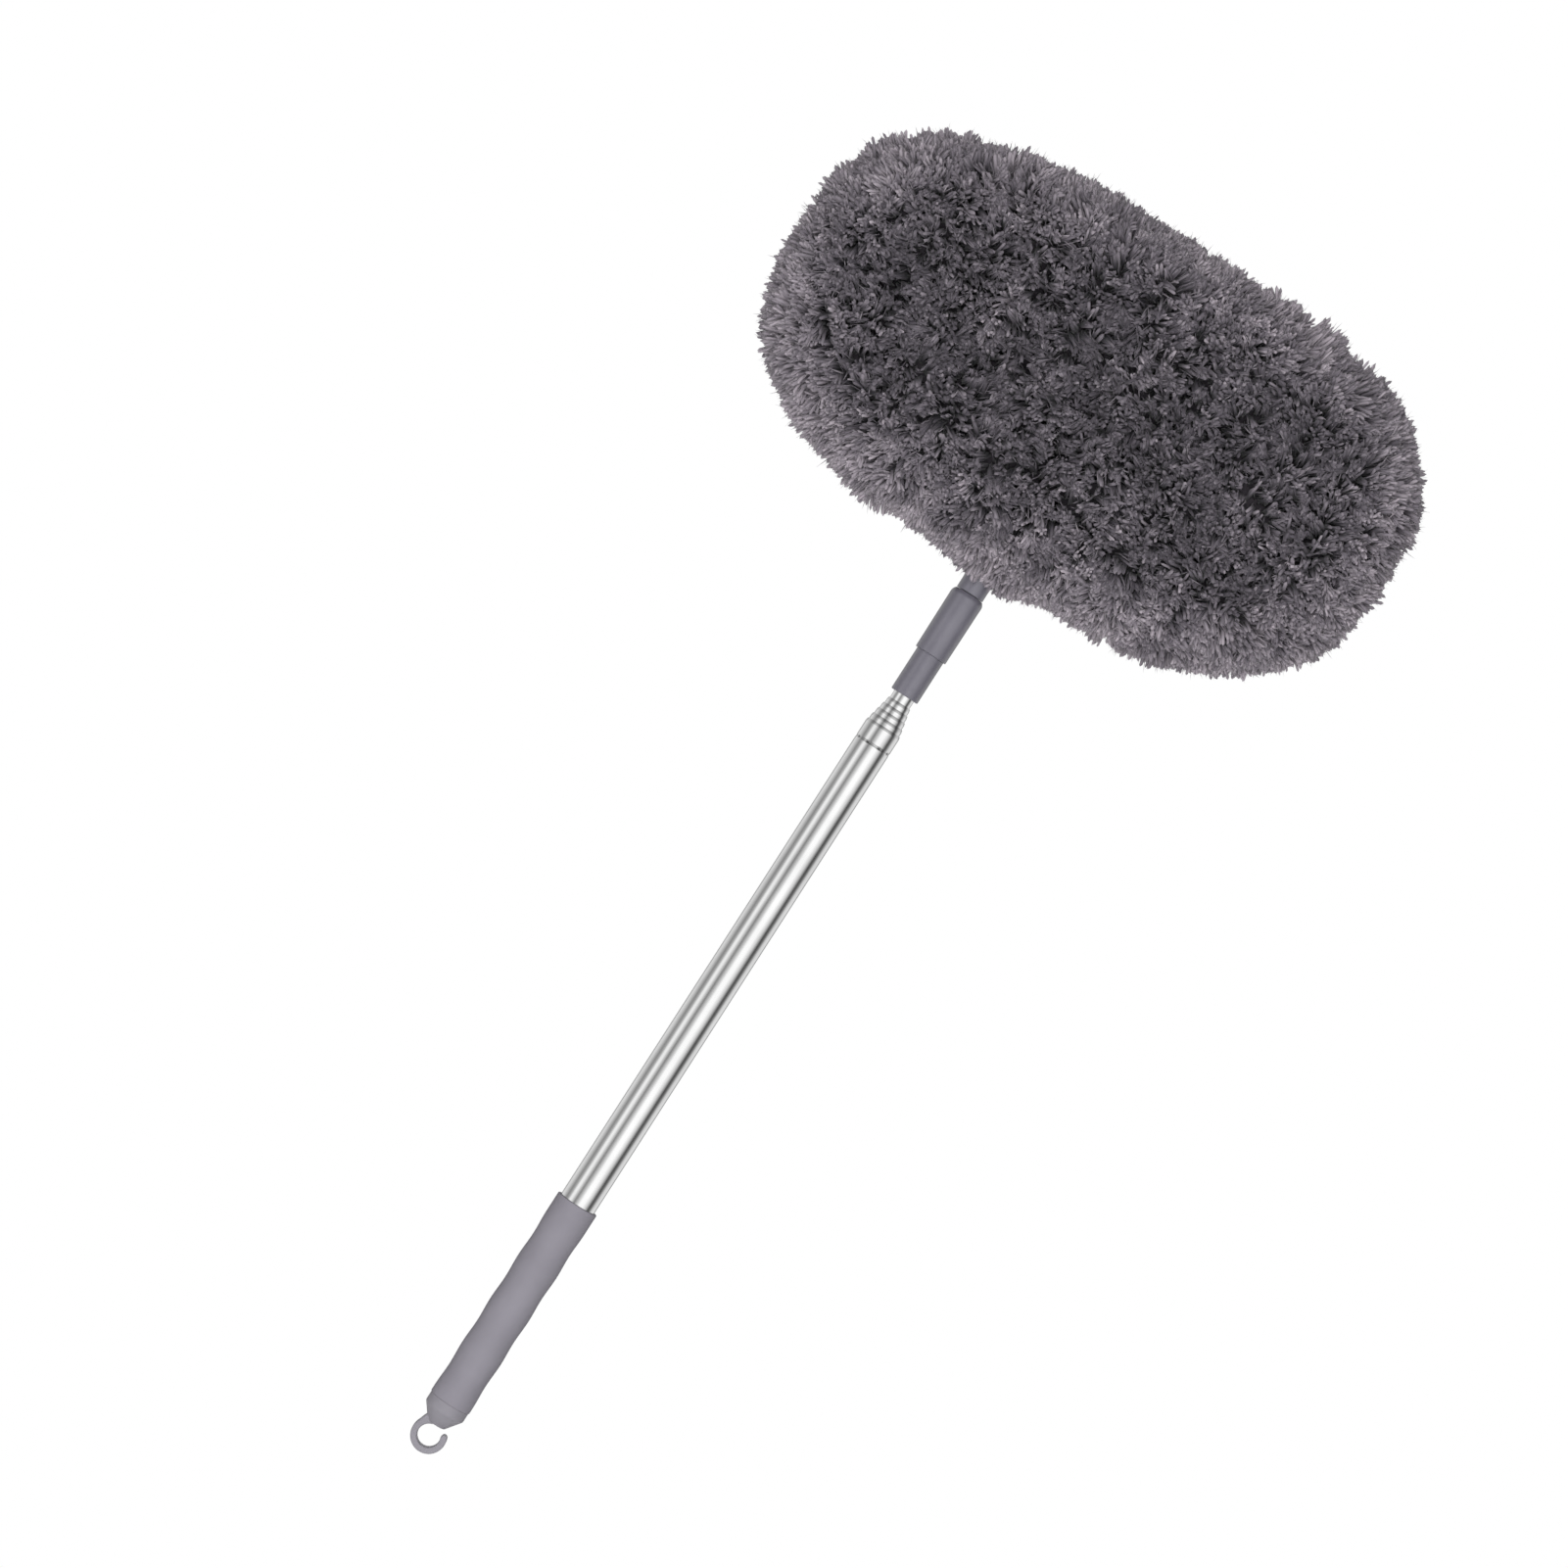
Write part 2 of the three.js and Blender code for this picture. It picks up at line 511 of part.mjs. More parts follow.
/** Pile of the roll: a thick ring, round at its rim and pressed flat beside the slot, bored and parted at the stem. */
function pileGeometry() {
  const ring = new ParametricGeometry((u, v, target) => {
    const turn = 2 * Math.PI * u;
    const outer = ovalPoint(HEAD_LENGTH / 2, HEAD_HEIGHT / 2, turn, OUTLINE_TOP_POWER, OUTLINE_BOTTOM_POWER);
    const inner = ovalPoint(SLOT_LENGTH / 2, SLOT_HEIGHT / 2, turn, SLOT_POWER, SLOT_POWER);
    const angle = 2 * Math.PI * v;
    const power = Math.cos(angle) > 0 ? PILE_RIM_POWER : PILE_SLOT_SIDE_POWER;
    target.lerpVectors(inner, outer, (1 + squared(Math.cos(angle), power)) / 2);
    target.y = (HEAD_THICKNESS / 2) * squared(Math.sin(angle), power);
  }, PILE_RING_STEPS, PILE_SECTION_STEPS);
  const bore = solid(tubeAlong(rollPath, pileBore, 0, HOSE_SIDES, ROLL_STEPS));
  const cuffLean = cuffRadius * Math.abs(rollPath.getTangentAt(CUFF_LENGTH / rollPath.getLength()).z);
  const pocketHalf = rollEnd + CUFF_LENGTH + cuffLean + SEAT_GAP;
  const first = Math.asin((pocketHalf / loopHalfLength) ** (LOOP_BOTTOM_POWER / 2));
  const last = ovalPoint(loopHalfLength, loopHalfHeight, first, LOOP_TOP_POWER, LOOP_BOTTOM_POWER);
  const pocketRadius = cuffRadius + ROLL_CLEARANCE + last.z - loopBottom;
  const pocket = upright(pocketRadius, -pocketHalf, pocketHalf).rotateY(Math.PI / 2).translate(0, 0, loopBottom);
  const stemHole = upright(HUB_DIAMETER / 2 + STEM_HOLE_CLEARANCE, headBottom - CUT_MARGIN, loopBottom);
  const partingHeight = HEAD_HEIGHT / 2 + CUT_MARGIN;
  const parting = new THREE.BoxGeometry(ROLL_END_GAP, HEAD_THICKNESS + CUT_MARGIN, partingHeight);
  parting.translate(0, 0, headCentre - partingHeight / 2);
  const cuts = [pocket, stemHole, parting].map(solid);
  return geometryOf(cuts.reduce((body, cut) => body.subtract(cut), solid(ring).subtract(bore)));
}

/** Elastic cuff round one end of the backing. */
function cuffGeometry(atStart) {
  const share = CUFF_LENGTH / rollPath.getLength();
  const turnShare = rollPath.getUtoTmapping(share);
  const path = atStart ? new LoopCurve(0, turnShare) : new LoopCurve(1 - turnShare, 1);
  return tubeAlong(path, cuffRadius, cuffBore, HOSE_SIDES, 1);
}

/** Handle: outer tube, grip and end cap. */
function makeHandle() {
  const handle = new THREE.Group();
  handle.add(piece('end_cap_hook', endCapGeometry(), greyPlastic));
  handle.add(piece('grip_sleeve', gripGeometry(), gripRubber));
  return handle;
}

/** Tubes, each in a group whose origin is its own mouth and which slides in the group round it. */
function makeTubes(handle) {
  let carrier = handle;
  for (let stage = 1; stage <= TUBE_COUNT; stage += 1) {
    const group = new THREE.Group();
    group.position.z = stage === 1 ? firstMouth : MOUTH_STEP;
    group.add(piece(`tube_${stage}`, tubeGeometry(stage), steel));
    if (stage > 1) group.add(piece(`friction_sleeve_${stage}`, frictionSleeveGeometry(stage), nylon));
    carrier.add(group);
    carrier = group;
  }
  return carrier;
}

/** Head: collar, stem, wire, hose, backing, cuffs and pile. */
function makeHead() {
  const head = new THREE.Group();
  head.add(piece('screw_collar', collarGeometry(), greyPlastic));
  head.add(piece('head_stem', stemGeometry(), greyPlastic));
  head.add(piece('wire_loop', wireGeometry(), wireSteel));
  head.add(piece('core_hose', tubeAlong(rollPath, hoseRadius, hoseBore, HOSE_SIDES, ROLL_STEPS), hosePlastic));
  const backing = tubeAlong(rollPath, backingRadius, backingBore, HOSE_SIDES, ROLL_STEPS);
  head.add(piece('sleeve_backing', backing, knit));
  head.add(piece('sleeve_cuff_right', cuffGeometry(true), elastic));
  head.add(piece('sleeve_cuff_left', cuffGeometry(false), elastic));
  head.add(piece('pile_cover', pileGeometry(), microfibre));
  return head;
}

const duster = new THREE.Group();
duster.name = 'ceiling_fan_duster';
const handle = makeHandle();
duster.add(handle);
const topStage = makeTubes(handle);
const fittings = new THREE.Group();
fittings.position.z = -mouthHeight(TUBE_COUNT);
fittings.add(piece('pole_socket', socketGeometry(), greyPlastic), makeHead());
topStage.add(fittings);

export default duster;
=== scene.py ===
"""Looks of a telescopic ceiling fan duster.

A pole of six polished steel tubes, with a soft wavy hand grip and a hanging hook at its lower end, carries
a fluffy ring of microfibre pile on a screw joint. Shapes are worked out in millimetres in the frame's own
axes, +Z up along the pole, and go into their meshes in metres.
"""

import json
import logging
import math
from collections.abc import Sequence
from dataclasses import dataclass
from enum import Enum

import bpy
import numpy as np
from mathutils import Matrix, Vector

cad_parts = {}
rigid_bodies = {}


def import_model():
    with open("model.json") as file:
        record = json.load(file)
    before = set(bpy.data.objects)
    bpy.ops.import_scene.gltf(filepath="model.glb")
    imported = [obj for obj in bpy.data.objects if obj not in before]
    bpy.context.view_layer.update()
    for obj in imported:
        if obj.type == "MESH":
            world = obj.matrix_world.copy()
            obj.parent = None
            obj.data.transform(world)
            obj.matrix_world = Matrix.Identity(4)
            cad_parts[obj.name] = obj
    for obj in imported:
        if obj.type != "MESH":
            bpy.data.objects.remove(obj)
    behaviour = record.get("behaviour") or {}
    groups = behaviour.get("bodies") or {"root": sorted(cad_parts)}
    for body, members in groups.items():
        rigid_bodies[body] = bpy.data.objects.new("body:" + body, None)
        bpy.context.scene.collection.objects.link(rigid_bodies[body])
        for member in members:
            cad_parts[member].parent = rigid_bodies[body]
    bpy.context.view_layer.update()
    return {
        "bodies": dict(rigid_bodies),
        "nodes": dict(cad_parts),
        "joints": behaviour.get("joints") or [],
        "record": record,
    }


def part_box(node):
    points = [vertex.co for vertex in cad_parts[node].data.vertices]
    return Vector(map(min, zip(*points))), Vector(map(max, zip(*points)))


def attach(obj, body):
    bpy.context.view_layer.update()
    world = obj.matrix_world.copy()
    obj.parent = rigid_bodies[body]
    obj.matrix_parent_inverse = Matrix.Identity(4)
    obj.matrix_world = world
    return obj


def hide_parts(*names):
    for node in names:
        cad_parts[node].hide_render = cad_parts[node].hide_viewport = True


LOG = logging.getLogger("duster")
MM = 0.001
FULL_TURN = 2 * math.pi
PLASTIC_NUMBER = 1.32471795724
SEED = 20
BAKE_MAP = "OFBake"
# Name of the point attribute that holds painted shade.
PAINTED_SHADE = "painted_shade"
CURVE_STEPS = 7
AXIS_RADIUS = 0.2
NOISE_LOW, NOISE_HIGH = 0.3, 0.7

Colour = tuple[float, float, float]
BLACK: Colour = (0.0, 0.0, 0.0)
WHITE: Colour = (1.0, 1.0, 1.0)


def grey(level: float) -> Colour:
    """A grey of one level."""
    return (level, level, level)


class Slot(Enum):
    """Material slots of the record that the pieces take their finish from."""

    POLISHED_STEEL = "polished_steel"
    NYLON = "nylon"
    GREY_PLASTIC = "grey_plastic"
    GRIP_RUBBER = "grip_rubber"
    WIRE_STEEL = "wire_steel"
    HOSE_PLASTIC = "hose_plastic"
    KNIT_CLOTH = "knit_cloth"
    ELASTIC_BAND = "elastic_band"
    MICROFIBRE_PILE = "microfibre_pile"


class Side(Enum):
    """The two ends of the roll, by the sign of their X."""

    LEFT = -1
    RIGHT = 1


@dataclass(frozen=True)
class Corner:
    """One corner of a turned outline: its radius, its height, and how far along its sides it is rounded."""

    radius: float
    height: float
    rounding: float = 0.0


@dataclass
class Skin:
    """A closed mesh as whole arrays: points in millimetres, faces, their map, and painted shade by point."""

    points: np.ndarray
    quads: np.ndarray
    triangles: np.ndarray
    quad_map: np.ndarray | None = None
    triangle_map: np.ndarray | None = None
    painted_shade: np.ndarray | None = None

    def joined(self, other: "Skin") -> "Skin":
        """This skin and another in one mesh, the other's corners counted on from this one's.

        Args:
            other: the skin that is added; it has a map if this one has.

        Returns:
            The two as one skin.
        """
        shift = len(self.points)
        both = Skin(
            np.vstack([self.points, other.points]), np.vstack([self.quads, other.quads + shift]),
            np.vstack([self.triangles, other.triangles + shift]),
        )
        if self.quad_map is not None:
            both.quad_map = np.vstack([self.quad_map, other.quad_map])
            both.triangle_map = np.vstack([self.triangle_map, other.triangle_map])
        return both


def rounded(corners: Sequence[Corner], ring: bool) -> np.ndarray:
    """Outline through corners, each rounded by a curve that leaves one side and meets the next.

    The curve of a corner is (1 - t)^2 start + 2 t (1 - t) corner + t^2 end, where start and end lie on the
    two sides at the corner's rounding from it, or half way along a side that is too short.

    Args:
        corners: the outline's corners in order.
        ring: whether the last corner joins the first; otherwise both ends stay sharp.

    Returns:
        Array of (radius, height) rows, with no point twice in a row.
    """
    points = np.array([(corner.radius, corner.height) for corner in corners])
    rounding = np.array([corner.rounding for corner in corners])
    if not ring:
        rounding[[0, -1]] = 0.0
    before = np.roll(points, 1, axis=0) - points
    after = np.roll(points, -1, axis=0) - points
    before_length = np.linalg.norm(before, axis=1)
    after_length = np.linalg.norm(after, axis=1)
    start = points + before * (np.minimum(rounding, before_length / 2) / before_length)[:, None]
    end = points + after * (np.minimum(rounding, after_length / 2) / after_length)[:, None]
    t = np.linspace(0, 1, CURVE_STEPS)[None, :, None]
    curve = (1 - t) ** 2 * start[:, None] + 2 * t * (1 - t) * points[:, None] + t**2 * end[:, None]
    curve = curve.reshape(-1, 2)
    least_step = 1e-6
    moved = np.linalg.norm(np.diff(curve, axis=0), axis=1) > least_step
    return curve[np.concatenate([[True], moved])]


def circle_angles(steps: int) -> np.ndarray:
    """Angles of even steps once round a circle."""
    return FULL_TURN * np.arange(steps) / steps


def turned_grid(profile: np.ndarray, sides: int) -> np.ndarray:
    """Points of a turned surface: x = radius cos(turn), y = radius sin(turn), z = height.

    Args:
        profile: (radius, height) rows.
        sides: steps round the axis.

    Returns:
        Array of profile rows by sides by 3.
    """
    turn = circle_angles(sides)
    radius = profile[:, :1]
    height = np.broadcast_to(profile[:, 1:], (len(profile), sides))
    return np.stack([radius * np.cos(turn), radius * np.sin(turn), height], axis=-1)


def closed_skin(grid: np.ndarray, poles: np.ndarray | None = None, mapped: bool = False) -> Skin:
    """Closes a grid whose columns run round a piece and whose rows run along it.

    Faces point along (step to the next column) x (step to the next row).

    Args:
        grid: rows by columns by 3 points.
        poles: the two points that close the first and last row; with none, the last row joins the first.
        mapped: whether a grid that closes on itself also gets a flat map, columns across and rows up.

    Returns:
        The closed skin.
    """
    rows, columns = grid.shape[:2]
    index = np.arange(rows * columns).reshape(rows, columns)
    lower = index if poles is None else index[:-1]
    upper = np.roll(index, -1, axis=0) if poles is None else index[1:]
    turned = (np.roll(lower, -1, axis=1), np.roll(upper, -1, axis=1))
    quads = np.stack([lower, turned[0], turned[1], upper], axis=-1).reshape(-1, 4)
    points = grid.reshape(-1, 3)
    triangles = np.empty((0, 3), int)
    if poles is not None:
        points = np.vstack([points, poles])
        first = np.stack([np.full(columns, len(points) - 2), np.roll(index[0], -1), index[0]], axis=-1)
        last = np.stack([np.full(columns, len(points) - 1), index[-1], np.roll(index[-1], -1)], axis=-1)
        triangles = np.vstack([first, last])
    skin = Skin(points, quads, triangles)
    if mapped:
        across, up = np.meshgrid(np.arange(columns), np.arange(len(lower)))
        steps = np.array([(0, 0), (1, 0), (1, 1), (0, 1)])
        corners = np.stack([across, up], axis=-1).reshape(-1, 1, 2) + steps
        skin.quad_map = corners / np.array([columns, len(lower)])
        skin.triangle_map = np.empty((0, 3, 2))
    return skin


def turned_skin(profile: np.ndarray, sides: int, ring: bool) -> Skin:
    """A turned piece: a ring whose profile closes on itself, or a core that is closed on the axis.

    Args:
        profile: (radius, height) rows, upwards on the outside.
        sides: steps round the axis.
        ring: whether the profile closes on itself.

    Returns:
        The closed skin.
    """
    ends = np.array([(0, 0, profile[0, 1]), (0, 0, profile[-1, 1])])
    return closed_skin(turned_grid(profile, sides), None if ring else ends)


def squared(value: np.ndarray, power: np.ndarray | float) -> np.ndarray:
    """A sine or cosine bent to follow a superellipse: its sign times its size to the power 2 / power."""
    return np.sign(value) * np.abs(value) ** (2 / power)


def smooth_step(value: np.ndarray | float, low: float, high: float) -> np.ndarray:
    """Rises from 0 at low to 1 at high as 3 t^2 - 2 t^3, or falls where high is the lower of the two."""
    t = np.clip((value - low) / (high - low), 0, 1)
    return t * t * (3 - 2 * t)


class Ripple:
    """Smooth random field: sines of random direction, pitch and phase, summed to a spread of one."""

    shortest: float = 0.7
    longest: float = 1.4

    def __init__(self, rng: np.random.Generator, wavelength: float, waves: int = 14) -> None:
        """Draws the sines.

        Args:
            rng: the source of chance.
            wavelength: mean distance between crests in millimetres.
            waves: how many sines are summed.
        """
        direction = rng.normal(size=(3, waves))
        direction /= np.linalg.norm(direction, axis=0)
        pitch = wavelength * rng.uniform(self.shortest, self.longest, waves)
        self.wave = direction * FULL_TURN / pitch
        self.phase = rng.uniform(0, FULL_TURN, waves)
        self.scale = math.sqrt(2 / waves)

    def __call__(self, points: np.ndarray) -> np.ndarray:
        """The field's value at each point."""
        return np.sin(points @ self.wave + self.phase).sum(axis=-1) * self.scale


def add_object(name: str, data: bpy.types.ID) -> bpy.types.Object:
    """Puts a mesh, a lamp or a camera into the scene.

    Args:
        name: the object's name.
        data: what it shows.

    Returns:
        The new object.
    """
    added = bpy.data.objects.new(name, data)
    bpy.context.scene.collection.objects.link(added)
    return added


def put_piece(name: str, skin: Skin, material: bpy.types.Material, body: str,
              sharp_degrees: float | None = 38.0) -> bpy.types.Object:
    """Puts a skin into a mesh object that rides on a body.

    Args:
        name: the piece's name.
        skin: its points, faces and map.
        material: its finish.
        body: the CAD body that it moves with.
        sharp_degrees: edges that turn more than this stay sharp; with none, all are smooth.

    Returns:
        The new object.
    """
    mesh = bpy.data.meshes.new(name)
    mesh.vertices.add(len(skin.points))
    mesh.vertices.foreach_set("co", (skin.points * MM).astype(np.float32).ravel())
    corners = np.concatenate([skin.quads.ravel(), skin.triangles.ravel()]).astype(np.int32)
    sizes = np.concatenate([np.full(len(skin.quads), 4), np.full(len(skin.triangles), 3)])
    mesh.loops.add(len(corners))
    mesh.loops.foreach_set("vertex_index", corners)
    mesh.polygons.add(len(sizes))
    mesh.polygons.foreach_set("loop_start", (np.cumsum(sizes) - sizes).astype(np.int32))
    mesh.update(calc_edges=True)
    if skin.quad_map is not None:
        flat = np.concatenate([skin.quad_map.ravel(), skin.triangle_map.ravel()]).astype(np.float32)
        mesh.uv_layers.new(name=BAKE_MAP).data.foreach_set("uv", flat)
    # Painted shade by point, where the skin has it.
    if skin.painted_shade is not None:
        shade_marks = mesh.attributes.new(PAINTED_SHADE, "FLOAT", "POINT")
        shade_marks.data.foreach_set("value", skin.painted_shade.astype(np.float32).ravel())
    mesh.shade_smooth()
    if sharp_degrees is not None:
        mesh.set_sharp_from_angle(angle=math.radians(sharp_degrees))
    mesh.materials.append(material)
    piece = add_object(name, mesh)
    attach(piece, body)
    LOG.info("%s: %d faces on %s", name, len(sizes), body)
    return piece


def fill(node: bpy.types.Node, values: dict[str, object]) -> None:
    """Sets input sockets of a node by their names."""
    for label, value in values.items():
        node.inputs[label].default_value = value


class Wiring:
    """Adds nodes to a node tree and joins their sockets."""

    def __init__(self, tree: bpy.types.NodeTree) -> None:
        """Keeps the tree that the nodes go into."""
        self.tree = tree

    def add(self, kind: str, values: dict[str, object] | None = None, **options: object) -> bpy.types.Node:
        """Adds one node.

        Args:
            kind: the node's type without its ShaderNode prefix.
            values: what its input sockets hold, by their names.
            options: the node's own options by name.

        Returns:
            The new node.
        """
        node = self.tree.nodes.new("ShaderNode" + kind)
        for option, value in options.items():
            setattr(node, option, value)
        fill(node, values or {})
        return node

    def join(self, source: bpy.types.NodeSocket, target: bpy.types.NodeSocket) -> None:
        """Links one socket to another."""
        self.tree.links.new(source, target)

    def math(self, operation: str, first: object, second: object) -> bpy.types.NodeSocket:
        """Adds a Math node.

        Args:
            operation: the node's operation.
            first: a socket or a number.
            second: a socket or a number.

        Returns:
            The node's output.
        """
        node = self.add("Math", operation=operation)
        for place, value in enumerate((first, second)):
            if isinstance(value, (int, float)):
                node.inputs[place].default_value = value
            else:
                self.join(value, node.inputs[place])
        return node.outputs[0]

    def blend(self, factor: bpy.types.NodeSocket, first: object, second: object) -> bpy.types.NodeSocket:
        """Adds a Mix node for two colours.

        Args:
            factor: how much of the second shows.
            first: a socket or a colour.
            second: a socket or a colour.

        Returns:
            The node's colour output.
        """
        node = self.add("Mix", data_type="RGBA")
        sockets = {socket.identifier: socket for socket in node.inputs}
        self.join(factor, sockets["Factor_Float"])
        for label, value in (("A_Color", first), ("B_Color", second)):
            if isinstance(value, tuple):
                sockets[label].default_value = (*value, 1.0)
            else:
                self.join(value, sockets[label])
        return node.outputs[2]

    def ramp(self, factor: bpy.types.NodeSocket,
             stops: Sequence[tuple[float, Colour]]) -> bpy.types.NodeSocket:
        """Adds a colour ramp.

        Args:
            factor: what the ramp reads, 0 to 1.
            stops: places along the ramp with their colours.

        Returns:
            The ramp's colour output.
        """
        node = self.add("ValToRGB")
        elements = node.color_ramp.elements
        while len(elements) < len(stops):
            elements.new(1.0)
        for element, (place, colour) in zip(elements, stops):
            element.position = place
            element.color = (*colour, 1.0)
        self.join(factor, node.inputs["Fac"])
        return node.outputs["Color"]

    def effect(self, group: bpy.types.NodeTree, vector: bpy.types.NodeSocket,
               **values: float) -> bpy.types.Node:
        """Places a shared effect.

        Args:
            group: the effect's node group.
            vector: the coordinates that it follows.
            values: what its other inputs hold, by their names.

        Returns:
            The placed group.
        """
        node = self.add("Group", node_tree=group)
        fill(node, values)
        self.join(vector, node.inputs["Vector"])
        return node


def new_group(name: str, inputs: Sequence[tuple[str, str, float]],
              outputs: Sequence[str]) -> tuple[Wiring, bpy.types.Node, bpy.types.Node]:
    """Starts a shader node group.

    Args:
        name: the group's name.
        inputs: name, socket type and default of each input; a vector's default is left alone.
        outputs: names of the values that the group puts out.

    Returns:
        The group's wiring, its input node and its output node.
    """
    tree = bpy.data.node_groups.new(name, "ShaderNodeTree")
    for label, kind, default in inputs:
        socket = tree.interface.new_socket(label, in_out="INPUT", socket_type=kind)
        if kind == "NodeSocketFloat":
            socket.default_value = default
    for label in outputs:
        tree.interface.new_socket(label, in_out="OUTPUT", socket_type="NodeSocketFloat")
    return Wiring(tree), tree.nodes.new("NodeGroupInput"), tree.nodes.new("NodeGroupOutput")


class SharedEffects:
    """Shader node groups that several finishes place with their own values."""

    def __init__(self) -> None:
        """Builds each group once."""
        self.grain = self.build_grain()
        self.drawn_lines = self.build_drawn_lines()
        self.knit = self.build_knit()

    @staticmethod
    def build_grain() -> bpy.types.NodeTree:
        """Moulded grain: fine noise for the height, and noise a fortieth as fine for the tone.

        Returns:
            The group, with outputs Height and Tone from 0 to 1.
        """
        coarser = 40.0
        wiring, given, result = new_group(
            "moulded_grain", [("Vector", "NodeSocketVector", 0), ("Scale", "NodeSocketFloat", 900)],
            ["Height", "Tone"])
        fine = wiring.add("TexNoise", {"Detail": 2.0})
        broad = wiring.add("TexNoise", {"Detail": 3.0})
        for node in (fine, broad):
            wiring.join(given.outputs["Vector"], node.inputs["Vector"])
        wiring.join(given.outputs["Scale"], fine.inputs["Scale"])
        wiring.join(wiring.math("DIVIDE", given.outputs["Scale"], coarser), broad.inputs["Scale"])
        wiring.join(fine.outputs["Fac"], result.inputs["Height"])
        wiring.join(broad.outputs["Fac"], result.inputs["Tone"])
        return wiring.tree

    @staticmethod
    def build_drawn_lines() -> bpy.types.NodeTree:
        """Drawn metal: noise squeezed across the pole and stretched two hundred times along it.

        Returns:
            The group, with outputs Height and Tone from 0 to 1.
        """
        wiring, given, result = new_group(
            "drawn_lines", [("Vector", "NodeSocketVector", 0), ("Scale", "NodeSocketFloat", 700)],
            ["Height", "Tone"])
        stretch = wiring.add("Mapping", {"Scale": (1.0, 1.0, 0.005)})
        wiring.join(given.outputs["Vector"], stretch.inputs["Vector"])
        lines = wiring.add("TexNoise", {"Detail": 3.0})
        wiring.join(stretch.outputs["Vector"], lines.inputs["Vector"])
        wiring.join(given.outputs["Scale"], lines.inputs["Scale"])
        smudge = wiring.add("TexNoise", {"Scale": 45.0, "Detail": 4.0})
        wiring.join(given.outputs["Vector"], smudge.inputs["Vector"])
        wiring.join(lines.outputs["Fac"], result.inputs["Height"])
        wiring.join(smudge.outputs["Fac"], result.inputs["Tone"])
        return wiring.tree

    @staticmethod
    def build_knit() -> bpy.types.NodeTree:
        """Knit on a flat map: rows of stitches as a product of two sines, with noise for uneven yarn.

        Returns:
            The group, with outputs Height and Tone from 0 to 1.
        """
        wiring, given, result = new_group(
            "knit_rows", [("Vector", "NodeSocketVector", 0), ("Rows", "NodeSocketFloat", 300),
                          ("Wales", "NodeSocketFloat", 24)],
            ["Height", "Tone"])
        split = wiring.add("SeparateXYZ")
        wiring.join(given.outputs["Vector"], split.inputs["Vector"])
        stitch = []
        for axis, count in (("Y", "Rows"), ("X", "Wales")):
            stitches = wiring.math("MULTIPLY", split.outputs[axis], given.outputs[count])
            sine = wiring.math("SINE", wiring.math("MULTIPLY", stitches, math.pi), 0.0)
            stitch.append(wiring.math("ABSOLUTE", sine, 0.0))
        wiring.join(wiring.math("MULTIPLY", *stitch), result.inputs["Height"])
        yarn = wiring.add("TexNoise", {"Scale": 60.0})
        wiring.join(given.outputs["Vector"], yarn.inputs["Vector"])
        wiring.join(yarn.outputs["Fac"], result.inputs["Tone"])
        return wiring.tree


def new_material(name: str) -> tuple[bpy.types.Material, Wiring, bpy.types.Node]:
    """Starts a material.

    Args:
        name: the material's name.

    Returns:
        The material, its wiring and its Principled shader.
    """
    material = bpy.data.materials.new(name)
    material.use_nodes = True
    return material, Wiring(material.node_tree), material.node_tree.nodes["Principled BSDF"]


def dress(wiring: Wiring, shader: bpy.types.Node, effect: bpy.types.Node, tones: tuple[Colour, Colour],
          roughness: tuple[float, float], bump_mm: float, painted_shade: Colour | None = None) -> None:
    """Feeds a shared effect's tone to colour and roughness, and its height to a bump.

    Args:
        wiring: the material's wiring.
        shader: its Principled shader.
        effect: the placed group, with Height and Tone.
        tones: colours of the effect's dark and light places.
        roughness: roughness of its dark and light places.
        bump_mm: height of the bump in millimetres.
        painted_shade: colour of the painted shade that the piece's marks show, if it has any.
    """
    colour = wiring.ramp(effect.outputs["Tone"], [(NOISE_LOW, tones[0]), (NOISE_HIGH, tones[1])])
    # Painted shade darkens the colour where the piece is marked for it.
    if painted_shade is not None:
        shade_marks = wiring.add("Attribute", attribute_name=PAINTED_SHADE)
        colour = wiring.blend(shade_marks.outputs["Fac"], colour, painted_shade)
    wiring.join(colour, shader.inputs["Base Color"])
    span = wiring.add("MapRange", {"To Min": roughness[0], "To Max": roughness[1]})
    wiring.join(effect.outputs["Tone"], span.inputs["Value"])
    wiring.join(span.outputs["Result"], shader.inputs["Roughness"])
    bump = wiring.add("Bump", {"Distance": bump_mm * MM})
    wiring.join(effect.outputs["Height"], bump.inputs["Height"])
    wiring.join(bump.outputs["Normal"], shader.inputs["Normal"])


@dataclass(frozen=True)
class MouldedFinish:
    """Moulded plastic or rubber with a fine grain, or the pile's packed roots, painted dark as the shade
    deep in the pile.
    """

    name: str
    dark: Colour
    light: Colour
    roughness: tuple[float, float]
    grain_scale: float
    grain_mm: float
    coat: float = 0.0
    coat_roughness: float = 0.12

    def material(self, effects: SharedEffects) -> bpy.types.Material:
        """Builds the material from the moulded grain on Object coordinates.

        Args:
            effects: the shared node groups.

        Returns:
            The material.
        """
        material, wiring, shader = new_material(self.name)
        place = wiring.add("TexCoord")
        grain = wiring.effect(effects.grain, place.outputs["Object"], Scale=self.grain_scale)
        dress(wiring, shader, grain, (self.dark, self.light), self.roughness, self.grain_mm)
        fill(shader, {"Coat Weight": self.coat, "Coat Roughness": self.coat_roughness})
        return material


